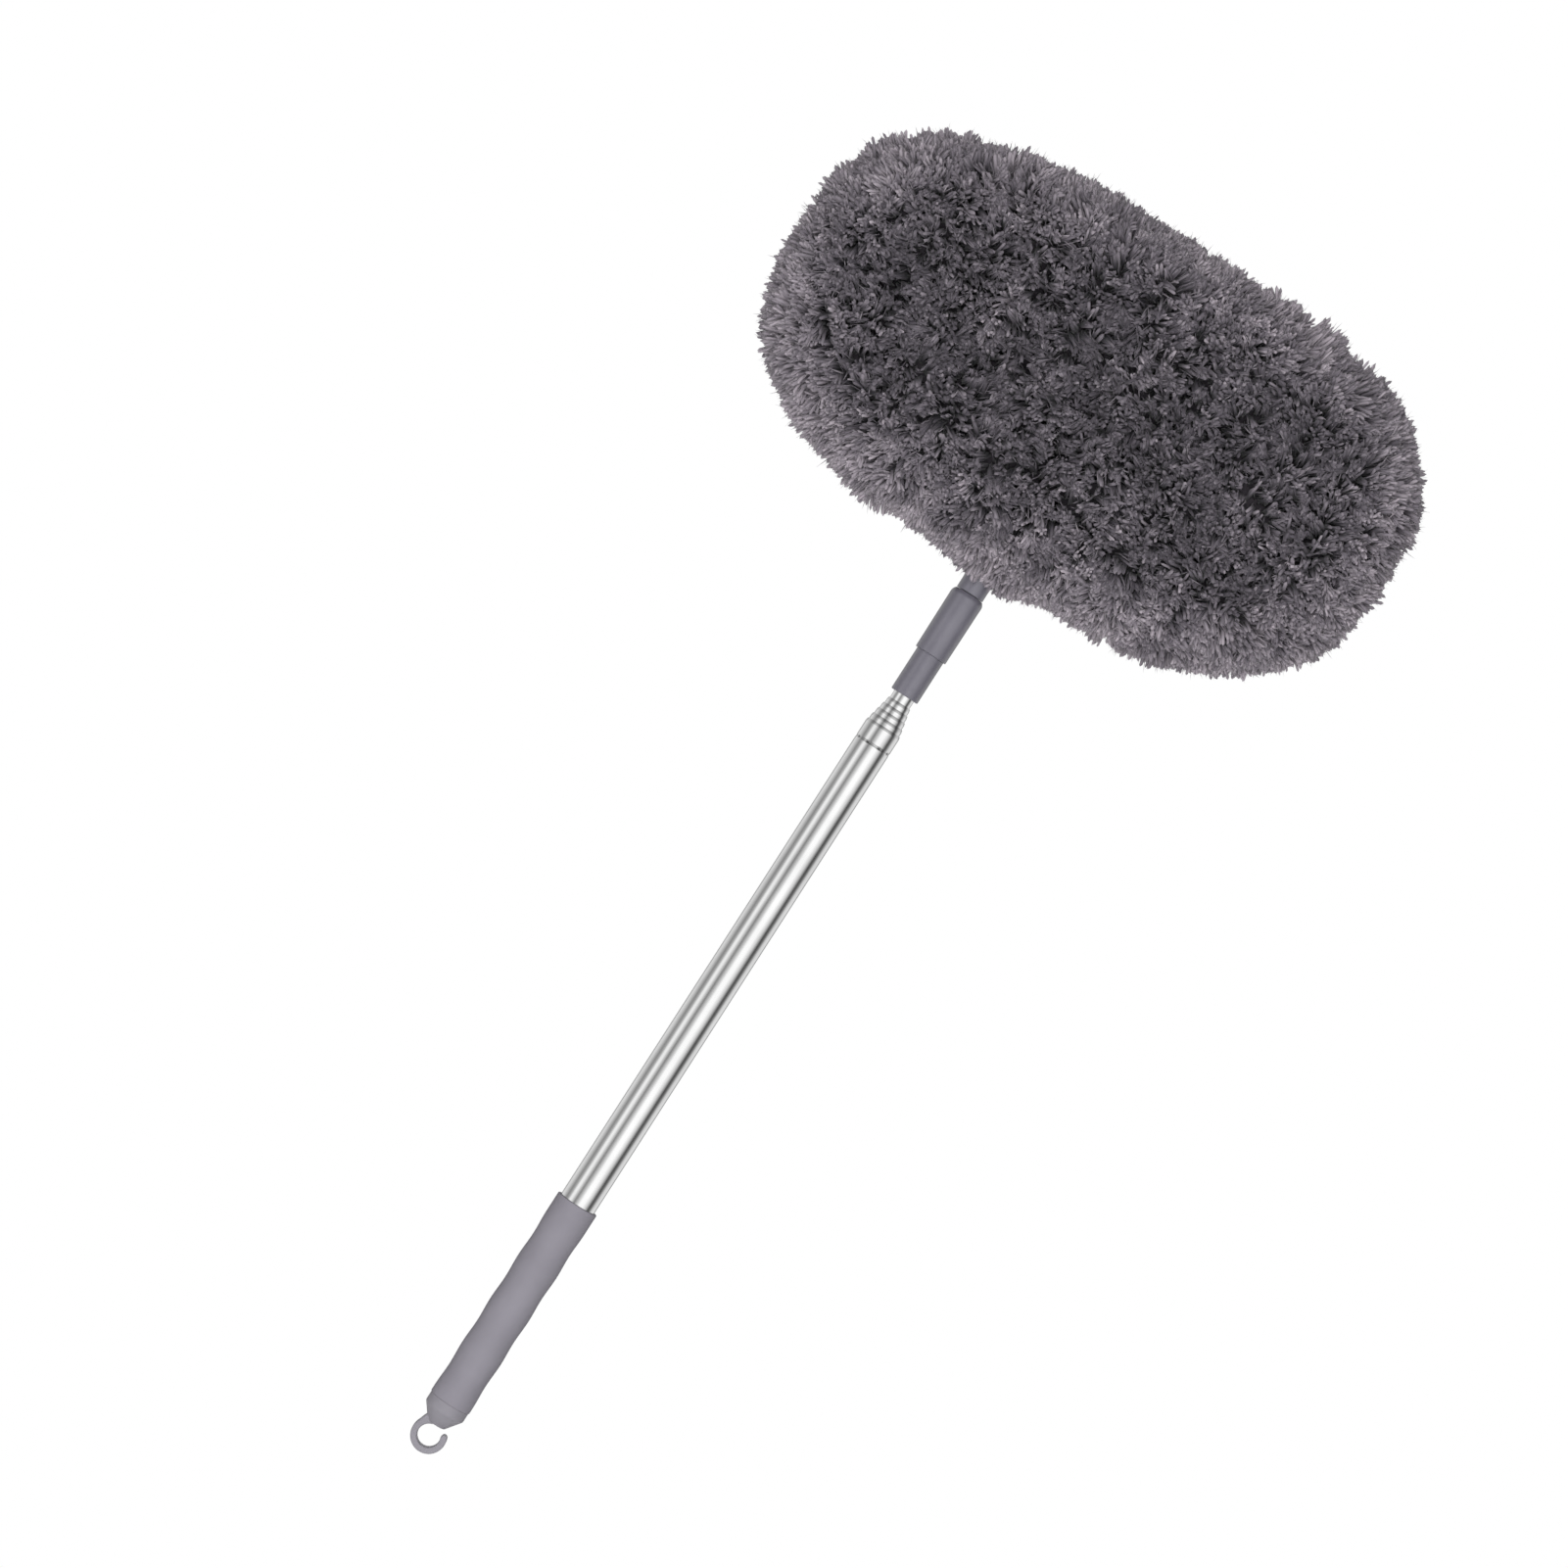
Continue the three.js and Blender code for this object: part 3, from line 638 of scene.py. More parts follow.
@dataclass(frozen=True)
class DrawnSteelFinish:
    """Steel with fine lines along its length, faint smudges, and painted shade where the piece is marked for
    it.
    """

    slot: Slot
    dark: Colour
    light: Colour
    roughness: tuple[float, float]
    line_scale: float
    line_mm: float
    # Colour of the painted shade in grooves, dimples and on the lip, where polished steel would mirror dark.
    painted_shade: Colour = (0.10, 0.10, 0.10)

    def material(self, effects: SharedEffects) -> bpy.types.Material:
        """Builds the material from the drawn lines on Object coordinates.

        Args:
            effects: the shared node groups.

        Returns:
            The material.
        """
        material, wiring, shader = new_material(self.slot.value)
        fill(shader, {"Metallic": 1.0})
        place = wiring.add("TexCoord")
        lines = wiring.effect(effects.drawn_lines, place.outputs["Object"], Scale=self.line_scale)
        dress(wiring, shader, lines, (self.dark, self.light), self.roughness, self.line_mm, self.painted_shade)
        return material


@dataclass(frozen=True)
class KnitFinish:
    """Knitted cloth or elastic on the piece's own map."""

    slot: Slot
    dark: Colour
    light: Colour
    rows: float
    wales: float
    stitch_mm: float
    roughness: tuple[float, float] = (0.85, 0.95)
    sheen: float = 0.3

    def material(self, effects: SharedEffects) -> bpy.types.Material:
        """Builds the material from the knit group on the piece's map.

        Args:
            effects: the shared node groups.

        Returns:
            The material.
        """
        material, wiring, shader = new_material(self.slot.value)
        place = wiring.add("UVMap", uv_map=BAKE_MAP)
        knit = wiring.effect(effects.knit, place.outputs["UV"], Rows=self.rows, Wales=self.wales)
        dress(wiring, shader, knit, (self.dark, self.light), self.roughness, self.stitch_mm)
        fill(shader, {"Sheen Weight": self.sheen})
        return material


@dataclass(frozen=True)
class PileFinish:
    """Microfibre strands: painted dark towards the root as shade deep in the pile, palest near the cut end
    and a little darker at the tip as painted end-on shade, each with a tone of its own.
    """

    # Colours along a strand: the dark root and middle are painted shade deep in the pile, and the tip, a
    # little darker than the shoulder, is painted end-on shade.
    root: Colour = (0.0098, 0.0092, 0.0112)
    middle: Colour = (0.0355, 0.0322, 0.0395)
    shoulder: Colour = (0.273, 0.2445, 0.273)
    tip: Colour = (0.250, 0.2245, 0.250)
    # The pale strands' lighter middle and end are painted rim light.
    pale_middle: Colour = (0.135, 0.1215, 0.1345)
    pale_end: Colour = (0.250, 0.2240, 0.2475)
    middle_place: float = 0.52
    shoulder_place: float = 0.9
    pale_from: float = 0.45
    pale_by: float = 0.9
    darkest: float = 0.3
    palest: float = 1.8
    dark_tint: Colour = (1.0, 1.0, 1.055)
    tone_steps: int = 5

    def material(self) -> bpy.types.Material:
        """Builds the material: the map's height runs along a strand, and its width picks the tone.

        Tones go up in even ratios, darkest (palest / darkest)^place, and lose the dark strands' tint on the
        way. Pale strands, most of them at the rim, keep more of their colour further down as painted rim
        light.

        Returns:
            The strands' material.
        """
        material, wiring, shader = new_material(Slot.MICROFIBRE_PILE.value)
        place = wiring.add("UVMap", uv_map=BAKE_MAP)
        split = wiring.add("SeparateXYZ")
        wiring.join(place.outputs["UV"], split.inputs["Vector"])
        # The dark ramp paints shade towards the root; the pale ramp paints rim light.
        dark = wiring.ramp(split.outputs["Y"], [
            (0.0, self.root), (self.middle_place, self.middle), (self.shoulder_place, self.shoulder),
            (1.0, self.tip)])
        pale = wiring.ramp(split.outputs["Y"], [
            (0.0, self.root), (self.middle_place, self.pale_middle), (self.shoulder_place, self.pale_end)])
        share = wiring.ramp(split.outputs["X"], [(self.pale_from, BLACK), (self.pale_by, WHITE)])
        along = wiring.blend(share, dark, pale)
        places = np.linspace(0, 1, self.tone_steps)
        levels = self.darkest * (self.palest / self.darkest) ** places
        tints = np.array(self.dark_tint) ** (1 - places[:, None])
        tones = [tuple(row) for row in (levels[:, None] * tints).tolist()]
        tone = wiring.ramp(split.outputs["X"], list(zip(places.tolist(), tones)))
        product = wiring.add("VectorMath", operation="MULTIPLY")
        wiring.join(along, product.inputs[0])
        wiring.join(tone, product.inputs[1])
        wiring.join(product.outputs["Vector"], shader.inputs["Base Color"])
        fill(shader, {
            "Roughness": 0.9, "Specular IOR Level": 0.2, "Subsurface Weight": 0.2,
            "Subsurface Radius": (1.0, 1.0, 1.0), "Subsurface Scale": 0.0015, "Sheen Weight": 0.12,
            "Sheen Roughness": 0.5,
        })
        return material


class Finishes:
    """All finishes of the duster, each built once."""

    def __init__(self) -> None:
        """Builds the shared effects and then every material."""
        effects = SharedEffects()
        drawn = [
            DrawnSteelFinish(
                Slot.POLISHED_STEEL, dark=(0.82, 0.82, 0.82), light=(0.90, 0.90, 0.90),
                roughness=(0.12, 0.18), line_scale=900.0, line_mm=0.004),
            DrawnSteelFinish(
                Slot.WIRE_STEEL, dark=(0.38, 0.38, 0.39), light=(0.48, 0.48, 0.49),
                roughness=(0.30, 0.45), line_scale=1500.0, line_mm=0.01),
        ]
        knitted = [
            KnitFinish(
                Slot.KNIT_CLOTH, dark=(0.070, 0.063, 0.068), light=(0.110, 0.100, 0.107),
                rows=420.0, wales=26.0, stitch_mm=0.5),
            KnitFinish(
                Slot.ELASTIC_BAND, dark=(0.055, 0.050, 0.054), light=(0.085, 0.078, 0.084),
                rows=10.0, wales=60.0, stitch_mm=0.4),
        ]
        moulded = {
            Slot.GREY_PLASTIC: MouldedFinish(
                "joint_plastic", dark=(0.138, 0.132, 0.161), light=(0.161, 0.154, 0.185),
                roughness=(0.34, 0.44), grain_scale=2600.0, grain_mm=0.02, coat=0.8),
            Slot.GRIP_RUBBER: MouldedFinish(
                "grip_rubber", dark=(0.239, 0.227, 0.260), light=(0.268, 0.255, 0.291),
                roughness=(0.58, 0.70), grain_scale=1900.0, grain_mm=0.05),
            Slot.NYLON: MouldedFinish(
                "nylon", dark=(0.72, 0.69, 0.60), light=(0.80, 0.77, 0.68),
                roughness=(0.38, 0.50), grain_scale=1800.0, grain_mm=0.02),
            Slot.HOSE_PLASTIC: MouldedFinish(
                "hose_plastic", dark=(0.62, 0.62, 0.60), light=(0.70, 0.70, 0.68),
                roughness=(0.42, 0.55), grain_scale=1500.0, grain_mm=0.02),
        }
        # Painted shade: the packed roots are painted dark as the shade deep in the pile.
        shaded_roots = MouldedFinish(
            "shaded_pile_roots", dark=(0.026, 0.023, 0.027), light=(0.052, 0.046, 0.054),
            roughness=(0.9, 1.0), grain_scale=700.0, grain_mm=0.8)
        cap_plastic = MouldedFinish(
            "cap_plastic", dark=(0.244, 0.233, 0.262), light=(0.274, 0.263, 0.294),
            roughness=(0.44, 0.56), grain_scale=2300.0, grain_mm=0.03)
        self.by_slot = {finish.slot: finish.material(effects) for finish in [*drawn, *knitted]}
        self.by_slot |= {slot: finish.material(effects) for slot, finish in moulded.items()}
        self.by_slot[Slot.MICROFIBRE_PILE] = PileFinish().material()
        self.shaded_pile_core = shaded_roots.material(effects)
        self.cap_plastic = cap_plastic.material(effects)

    def __getitem__(self, slot: Slot) -> bpy.types.Material:
        """The material of a slot."""
        return self.by_slot[slot]


def node_span(node: str) -> tuple[float, float]:
    """Lowest and highest Z of a CAD node in millimetres."""
    low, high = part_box(node)
    return low.z / MM, high.z / MM


def redress(frame: dict, nodes: Sequence[str], material: bpy.types.Material) -> None:
    """Gives CAD nodes that stay as they are a better material.

    Args:
        frame: the loaded frame.
        nodes: names of the nodes.
        material: their finish.
    """
    for node in nodes:
        frame["nodes"][node].material_slots[0].material = material
        LOG.info("%s: kept with a new finish", node)


@dataclass
class TelescopicPole:
    """Six nested steel tubes with rolled mouths, dimpled grooves, and beads that hold their sleeves."""

    tube_count: int = 6
    outer_radius: float = 11.0
    radius_step: float = 0.9
    wall: float = 0.4
    lip_length: float = 2.0
    lip_cone: float = 1.75
    lip_drop: float = 0.38
    lip_round: float = 0.05
    throat_round: float = 1.0
    lip_clearance: float = 0.1
    groove_below_mouth: float = 11.8
    groove_length: float = 1.8
    groove_depth: float = 0.32
    dimple_count: int = 9
    dimple_depth: float = 0.12
    dimple_turn: float = 0.31
    # Painted shade: how dark the groove, the dimples and the lip's cone are painted, standing in for what
    # polished steel mirrors dark there.
    groove_shade: float = 0.35
    dimple_shade: float = 0.75
    lip_shade: float = 0.3
    lip_shade_edge: tuple[float, float] = (-0.1, 0.2)
    bead_length: float = 1.6
    sleeve_clearance: float = 0.1
    sides: int = 110

    def radius(self, stage: int) -> float:
        """Outer radius of a tube, counted from 1 at the outside."""
        return self.outer_radius - (stage - 1) * self.radius_step

    def outline(self, stage: int) -> np.ndarray:
        """Wall of one tube, up its outside and down its inside.

        Args:
            stage: the tube, counted from 1 at the outside.

        Returns:
            Closed outline of (radius, height) rows.
        """
        bottom, top = node_span(f"tube_{stage}")
        radius = self.radius(stage)
        bore = radius - self.wall
        outside = [Corner(radius, bottom)]
        if stage > 1:
            low, high = node_span(f"friction_sleeve_{stage}")
            low -= self.sleeve_clearance + self.bead_length
            high += self.sleeve_clearance
            for start in (low, high):
                outside += self.swell(radius, start, self.bead_length, self.groove_depth)
        if stage == self.tube_count:
            return rounded([*outside, Corner(radius, top), Corner(bore, top), Corner(bore, bottom)], True)
        start = top - self.groove_below_mouth - self.groove_length / 2
        outside += self.swell(radius, start, self.groove_length, -self.groove_depth)
        lip_bore = self.radius(stage + 1) + self.lip_clearance
        lip = [
            Corner(radius, top - self.lip_cone, self.lip_round),
            Corner(radius - self.lip_drop, top, self.lip_round), Corner(lip_bore, top, self.wall / 2),
            Corner(lip_bore, top - self.wall), Corner(bore, top - self.lip_length, self.throat_round),
        ]
        inside = self.swell(bore, start, self.groove_length, -self.groove_depth)[::-1]
        return rounded([*outside, *lip, *inside, Corner(bore, bottom)], True)

    @staticmethod
    def swell(radius: float, start: float, length: float, rise: float) -> list[Corner]:
        """Three corners of a bead, or of a groove where the rise is negative.

        Args:
            radius: the tube's radius there.
            start: height of the lower edge.
            length: length along the tube.
            rise: how far its middle stands out.

        Returns:
            The corners from the lowest up.
        """
        edge = length / 3
        return [Corner(radius, start, edge), Corner(radius + rise, start + length / 2, edge),
                Corner(radius, start + length, edge)]

    def dimples(self, grid: np.ndarray, groove: float) -> np.ndarray:
        """How deep each point lies in the row of dimples along the groove.

        The share is exp(-(distance from the groove / half its length)^2) * max(0, cos(count * turn))^2.

        Args:
            grid: the tube's points.
            groove: height of the groove's middle.

        Returns:
            Values from 0 to 1.
        """
        turn = np.arctan2(grid[..., 1], grid[..., 0]) + math.pi / 2 + self.dimple_turn
        ring = np.exp(-(((grid[..., 2] - groove) / (self.groove_length / 2)) ** 2))
        return ring * np.maximum(np.cos(self.dimple_count * turn), 0) ** 2

    def worked(self, grid: np.ndarray, top: float) -> Skin:
        """Presses the dimples in, and marks painted shade into them, into the groove and on to the lip's
        cone.

        Args:
            grid: the tube's points.
            top: height of its mouth.

        Returns:
            The closed skin with its grime.
        """
        groove = top - self.groove_below_mouth
        dimples = self.dimples(grid, groove)
        shrink = 1 - dimples * self.dimple_depth / np.hypot(grid[..., 0], grid[..., 1])
        line = np.exp(-(((grid[..., 2] - groove) / (self.groove_length / 3)) ** 2))
        lip = smooth_step(grid[..., 2], *(top - self.lip_cone + edge for edge in self.lip_shade_edge))
        # Painted shade in the groove and the dimples, and on the lip's cone.
        groove_shade_marks = self.groove_shade * line + self.dimple_shade * dimples
        skin = closed_skin(grid * np.stack([shrink, shrink, np.ones_like(shrink)], axis=-1))
        skin.painted_shade = np.maximum(groove_shade_marks, self.lip_shade * lip).clip(0, 1)
        return skin

    def build(self, frame: dict, finishes: Finishes) -> None:
        """Builds and dresses the tubes, and dresses the friction sleeves.

        Args:
            frame: the loaded frame.
            finishes: the duster's finishes.
        """
        for stage in range(1, self.tube_count + 1):
            grid = turned_grid(self.outline(stage), self.sides)
            last = stage == self.tube_count
            skin = closed_skin(grid) if last else self.worked(grid, node_span(f"tube_{stage}")[1])
            body = "handle" if stage == 1 else f"stage_{stage}"
            tube = put_piece(f"polished_tube_{stage}", skin, finishes[Slot.POLISHED_STEEL], body)
            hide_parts(f"tube_{stage}")
        sleeves = [f"friction_sleeve_{stage}" for stage in range(2, self.tube_count + 1)]
        redress(frame, sleeves, finishes[Slot.NYLON])


@dataclass
class HandGrip:
    """Soft sleeve on the outer tube with four shallow finger waves between two plain lands."""

    bore: float = 11.15
    wall: float = 1.5
    waves: int = 4
    wave_depth: float = 0.55
    bottom_land: float = 3.5
    top_land: float = 12.9
    bottom_edge: float = 0.35
    top_edge: float = 0.7
    steps_per_wave: int = 24
    sides: int = 96

    def build(self, finishes: Finishes) -> None:
        """Builds the sleeve; its radius between the lands is crest - depth (1 - cos(wave)) / 2.

        Args:
            finishes: the duster's finishes.
        """
        bottom, top = node_span("grip_sleeve")
        crest = self.bore + self.wall
        start, end = bottom + self.bottom_land, top - self.top_land
        share = np.linspace(0, 1, self.waves * self.steps_per_wave + 1)
        dip = self.wave_depth * (1 - np.cos(FULL_TURN * self.waves * share)) / 2
        waves = np.stack([crest - dip, start + (end - start) * share], axis=-1)
        lower = [Corner(self.bore, bottom), Corner(crest, bottom, self.bottom_edge), Corner(crest, start)]
        upper = [Corner(crest, end), Corner(crest, top, self.top_edge), Corner(self.bore, top)]
        profile = np.vstack([rounded(lower, False)[:-1], waves, rounded(upper, False)[1:]])
        skin = turned_skin(profile, self.sides, True)
        grip = put_piece("soft_grip", skin, finishes[Slot.GRIP_RUBBER], "handle")
        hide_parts("grip_sleeve")


@dataclass
class HangingHook:
    """End cap with a rim and a cone, and an open ring that grows out of the cone's left side."""

    rim_radius: float = 12.25
    rim_length: float = 5.6
    rim_rise: float = 0.25
    spigot_radius: float = 10.45
    spigot_length: float = 20.0
    nose_radius: float = 5.5
    nose_drop: float = 9.0
    nose_round: float = 0.6
    rim_low_round: float = 0.8
    rim_high_round: float = 0.3
    spigot_round: float = 1.0
    ring_radius: float = 10.45
    ring_section: float = 3.85
    ring_depth: float = 8.0
    section_power: float = 7.0
    tip_degrees: float = 20.0
    tip_closed: float = 0.97
    root_degrees: float = 104.0
    fillet_degrees: float = 52.0
    fillet_growth: float = 1.5
    sides: int = 96
    ring_steps: int = 90
    tip_steps: int = 8
    section_steps: int = 32

    def cap_profile(self, cap_top: float) -> np.ndarray:
        """Outline of the cap from its nose up to the end of its spigot.

        Args:
            cap_top: height of the rim's upper face.

        Returns:
            (radius, height) rows that start and end beside the axis.
        """
        rim_bottom = cap_top - self.rim_length
        rim_top = cap_top + self.rim_rise
        nose = rim_bottom - self.nose_drop
        spigot_top = cap_top + self.spigot_length
        return rounded([
            Corner(AXIS_RADIUS, nose), Corner(self.nose_radius, nose, self.nose_round),
            Corner(self.rim_radius, rim_bottom, self.rim_low_round),
            Corner(self.rim_radius, rim_top, self.rim_high_round), Corner(self.spigot_radius, rim_top),
            Corner(self.spigot_radius, spigot_top, self.spigot_round), Corner(AXIS_RADIUS, spigot_top),
        ], False)

    def ring_skin(self, centre: float) -> Skin:
        """Open ring: a rounded rectangle carried round a circle from the free tip to its root in the cone.

        A section point is (line + half cos', depth sin' / 2), with cos' and sin' bent to a superellipse. The
        half width shrinks as cos(p) over the last sin(p) of the tip, and grows towards the root to make the
        fillet.

        Args:
            centre: height of the ring's middle.

        Returns:
            The closed skin.
        """
        half = self.ring_section / 2
        line = self.ring_radius - half
        tip = math.radians(self.tip_degrees)
        root = math.radians(self.root_degrees) - FULL_TURN
        swing = np.linspace(0, math.pi / 2 * self.tip_closed, self.tip_steps)[::-1]
        bow = np.linspace(tip, root, self.ring_steps)[1:]
        angle = np.concatenate([tip + half / line * np.sin(swing), bow])
        width = np.concatenate([half * np.cos(swing), np.full(self.ring_steps - 1, half)])
        fillet = smooth_step(angle, root + math.radians(self.fillet_degrees), root) * self.fillet_growth
        around = circle_angles(self.section_steps)
        across = squared(np.cos(around), self.section_power)
        deep = squared(np.sin(around), self.section_power) * self.ring_depth / 2
        radius = (line + fillet)[:, None] + (width + fillet)[:, None] * across
        x = radius * np.cos(angle)[:, None]
        z = centre + radius * np.sin(angle)[:, None]
        grid = np.stack([x, np.broadcast_to(deep, x.shape), z], axis=-1)
        return closed_skin(grid, grid[[0, -1]].mean(axis=1))

    def build(self, finishes: Finishes) -> None:
        """Builds the cap and its ring as one piece.

        Args:
            finishes: the duster's finishes.
        """
        bottom, top = node_span("end_cap_hook")
        cap = turned_skin(self.cap_profile(top - self.spigot_length), self.sides, False)
        skin = cap.joined(self.ring_skin(bottom + self.ring_radius))
        hook = put_piece("moulded_cap_hook", skin, finishes.cap_plastic, "handle")
        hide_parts("end_cap_hook")


@dataclass
class ScrewJoint:
    """Threaded socket on the thinnest tube, the collar that screws on to it, and the head's stem."""

    socket_radius: float = 8.65
    socket_length: float = 27.5
    socket_bore: float = 6.6
    socket_low_round: float = 0.8
    socket_high_round: float = 0.5
    tube_seat_depth: float = 24.0
    spigot_radius: float = 6.9
    spigot_bore: float = 4.2
    spigot_bevel: float = 0.6
    spigot_round: float = 0.4
    thread_pitch: float = 5.0
    thread_height: float = 0.8
    thread_root: float = 2.0
    thread_crest: float = 1.0
    thread_lead_in: float = 2.5
    thread_run_out: float = 1.0
    thread_row: float = 0.25
    collar_bore: float = 8.0
    collar_low_radius: float = 9.85
    collar_low_round: float = 0.35
    collar_high_radius: float = 10.1
    chamfer_length: float = 2.2
    chamfer_depth: float = 1.3
    chamfer_low_round: float = 1.0
    chamfer_high_round: float = 0.5
    skirt_bore: float = 8.8
    skirt_drop: float = 0.5
    collar_lip_bore: float = 5.9
    collar_lip_length: float = 9.7
    collar_lip_round: float = 0.3
    flange_radius: float = 7.4
    flange_length: float = 4.3
    flange_round: float = 0.4
    shank_radius: float = 5.6
    neck_gap: float = 0.3
    neck_radius: float = 8.5
    neck_shown: float = 8.6
    neck_round: float = 0.5
    flare_length: float = 5.0
    flare_round: float = 2.5
    hub_radius: float = 9.8
    nose: float = 4.0
    nose_round: float = 2.0
    sides: int = 96

    def ridge(self, height: np.ndarray, turn: np.ndarray, start: float, low: float,
              high: float) -> np.ndarray:
        """Share of the thread's height at points of a round wall.

        The ridge lies where height - start is the pitch times the turn; it is full within half its crest's
        width of there, falls to nothing at half its root's width, and runs out beyond low and high.

        Args:
            height: heights of the points.
            turn: their angles round Z.
            start: height of the ridge's middle at angle 0.
            low: where the ridge begins.
            high: where it ends.

        Returns:
            Values from 0 to 1.
        """
        rise = (height - start) / self.thread_pitch - turn / FULL_TURN
        off = np.abs(rise - np.round(rise)) * self.thread_pitch
        flank = (self.thread_root - self.thread_crest) / 2
        full = np.clip((self.thread_root / 2 - off) / flank, 0, 1)
        begins = smooth_step(height, low - self.thread_run_out, low)
        return full * begins * smooth_step(height, high + self.thread_run_out, high)

    def threaded(self, grid: np.ndarray, wall: float, rise: float, start: float, low: float,
                 high: float) -> np.ndarray:
        """Raises a thread on the part of a turned grid that lies on one wall.

        Args:
            grid: the turned points.
            wall: radius of the wall that carries the thread.
            rise: the thread's height, negative inwards.
            start: height of the ridge's middle at angle 0.
            low: where the ridge begins.
            high: where it ends.

        Returns:
            The threaded points.
        """
        radius = np.hypot(grid[..., 0], grid[..., 1])
        turn = np.arctan2(grid[..., 1], grid[..., 0])
        tolerance = 1e-3
        on_wall = np.abs(radius - wall) < tolerance
        growth = 1 + on_wall * rise * self.ridge(grid[..., 2], turn, start, low, high) / radius
        return grid * np.stack([growth, growth, np.ones_like(growth)], axis=-1)

    def fine_wall(self, radius: float, low: float, high: float) -> np.ndarray:
        """A straight wall as close rows, fine enough to carry a thread.

        Args:
            radius: the wall's radius.
            low: where it starts.
            high: where it ends; lower than low for a wall that runs down.

        Returns:
            (radius, height) rows.
        """
        steps = int(abs(high - low) / self.thread_row)
        return np.stack([np.full(steps, radius), np.linspace(low, high, steps)], axis=-1)

    def build_socket(self, finishes: Finishes) -> None:
        """Builds the socket: outside up, in to the threaded spigot, and down its bore to the tube's seat.

        Args:
            finishes: the duster's finishes.
        """
        bottom, top = node_span("pole_socket")
        shoulder = bottom + self.socket_length
        seat = bottom + self.tube_seat_depth
        bevel = top - self.spigot_bevel
        outside = rounded([
            Corner(self.socket_bore, bottom), Corner(self.socket_radius, bottom, self.socket_low_round),
            Corner(self.socket_radius, shoulder, self.socket_high_round),
            Corner(self.spigot_radius, shoulder),
        ], False)
        inside = rounded([
            Corner(self.spigot_radius, bevel, self.spigot_round),
            Corner(self.spigot_radius - self.spigot_bevel, top), Corner(self.spigot_bore, top),
            Corner(self.spigot_bore, seat), Corner(self.socket_bore, seat),
        ], False)
        wall = self.fine_wall(self.spigot_radius, shoulder, bevel)
        grid = turned_grid(np.vstack([outside, wall[1:-1], inside]), self.sides)
        low, high = shoulder + self.thread_lead_in, top - self.thread_lead_in
        grid = self.threaded(grid, self.spigot_radius, self.thread_height, shoulder, low, high)
        socket = put_piece("threaded_socket", closed_skin(grid), finishes[Slot.GREY_PLASTIC], "stage_6")
        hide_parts("pole_socket")

    def build_collar(self, finishes: Finishes) -> None:
        """Builds the collar: a slightly flared barrel, chamfered at its top, with a thread below its lip.

        Args:
            finishes: the duster's finishes.
        """
        bottom, top = node_span("screw_collar")
        lip_bottom = top - self.collar_lip_length
        outside = rounded([
            Corner(self.collar_bore, bottom), Corner(self.skirt_bore, bottom),
            Corner(self.skirt_bore, bottom - self.skirt_drop),
            Corner(self.collar_low_radius, bottom - self.skirt_drop, self.collar_low_round),
            Corner(self.collar_high_radius, top - self.chamfer_length, self.chamfer_low_round),
            Corner(self.collar_high_radius - self.chamfer_depth, top, self.chamfer_high_round),
            Corner(self.collar_lip_bore, top, self.collar_lip_round),
            Corner(self.collar_lip_bore, lip_bottom), Corner(self.collar_bore, lip_bottom),
        ], False)
        wall = self.fine_wall(self.collar_bore, lip_bottom, bottom)
        grid = turned_grid(np.vstack([outside, wall[1:-1]]), self.sides)
        start = bottom - self.neck_gap + self.thread_pitch / 2
        low, high = bottom + self.thread_lead_in, bottom + self.socket_length - 2 * self.thread_lead_in
        grid = self.threaded(grid, self.collar_bore, -self.thread_height, start, low, high)
        collar = put_piece("moulded_collar", closed_skin(grid), finishes[Slot.GREY_PLASTIC], "collar")
        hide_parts("screw_collar")

    def build_stem(self, finishes: Finishes) -> None:
        """Builds the stem: flange and shank in the collar, then neck, flare, and a hub with a round nose.

        Args:
            finishes: the duster's finishes.
        """
        bottom, top = node_span("head_stem")
        flange_top = bottom + self.flange_length
        neck_bottom = node_span("screw_collar")[1] + self.neck_gap
        flare = neck_bottom - self.neck_gap + self.neck_shown
        profile = rounded([
            Corner(AXIS_RADIUS, bottom), Corner(self.flange_radius, bottom, self.flange_round),
            Corner(self.flange_radius, flange_top, self.flange_round), Corner(self.shank_radius, flange_top),
            Corner(self.shank_radius, neck_bottom), Corner(self.neck_radius, neck_bottom, self.neck_round),
            Corner(self.neck_radius, flare, self.flare_round),
            Corner(self.hub_radius, flare + self.flare_length, self.flare_round),
            Corner(self.hub_radius, top - self.nose, self.flare_round),
            Corner(self.neck_radius, top, self.nose_round), Corner(AXIS_RADIUS, top),
        ], False)
        skin = turned_skin(profile, self.sides, False)
        stem = put_piece("moulded_stem", skin, finishes[Slot.GREY_PLASTIC], "head")
        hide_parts("head_stem")

    def build(self, finishes: Finishes) -> None:
        """Builds the socket, the collar and the stem.

        Args:
            finishes: the duster's finishes.
        """
        self.build_socket(finishes)
        self.build_collar(finishes)
        self.build_stem(finishes)


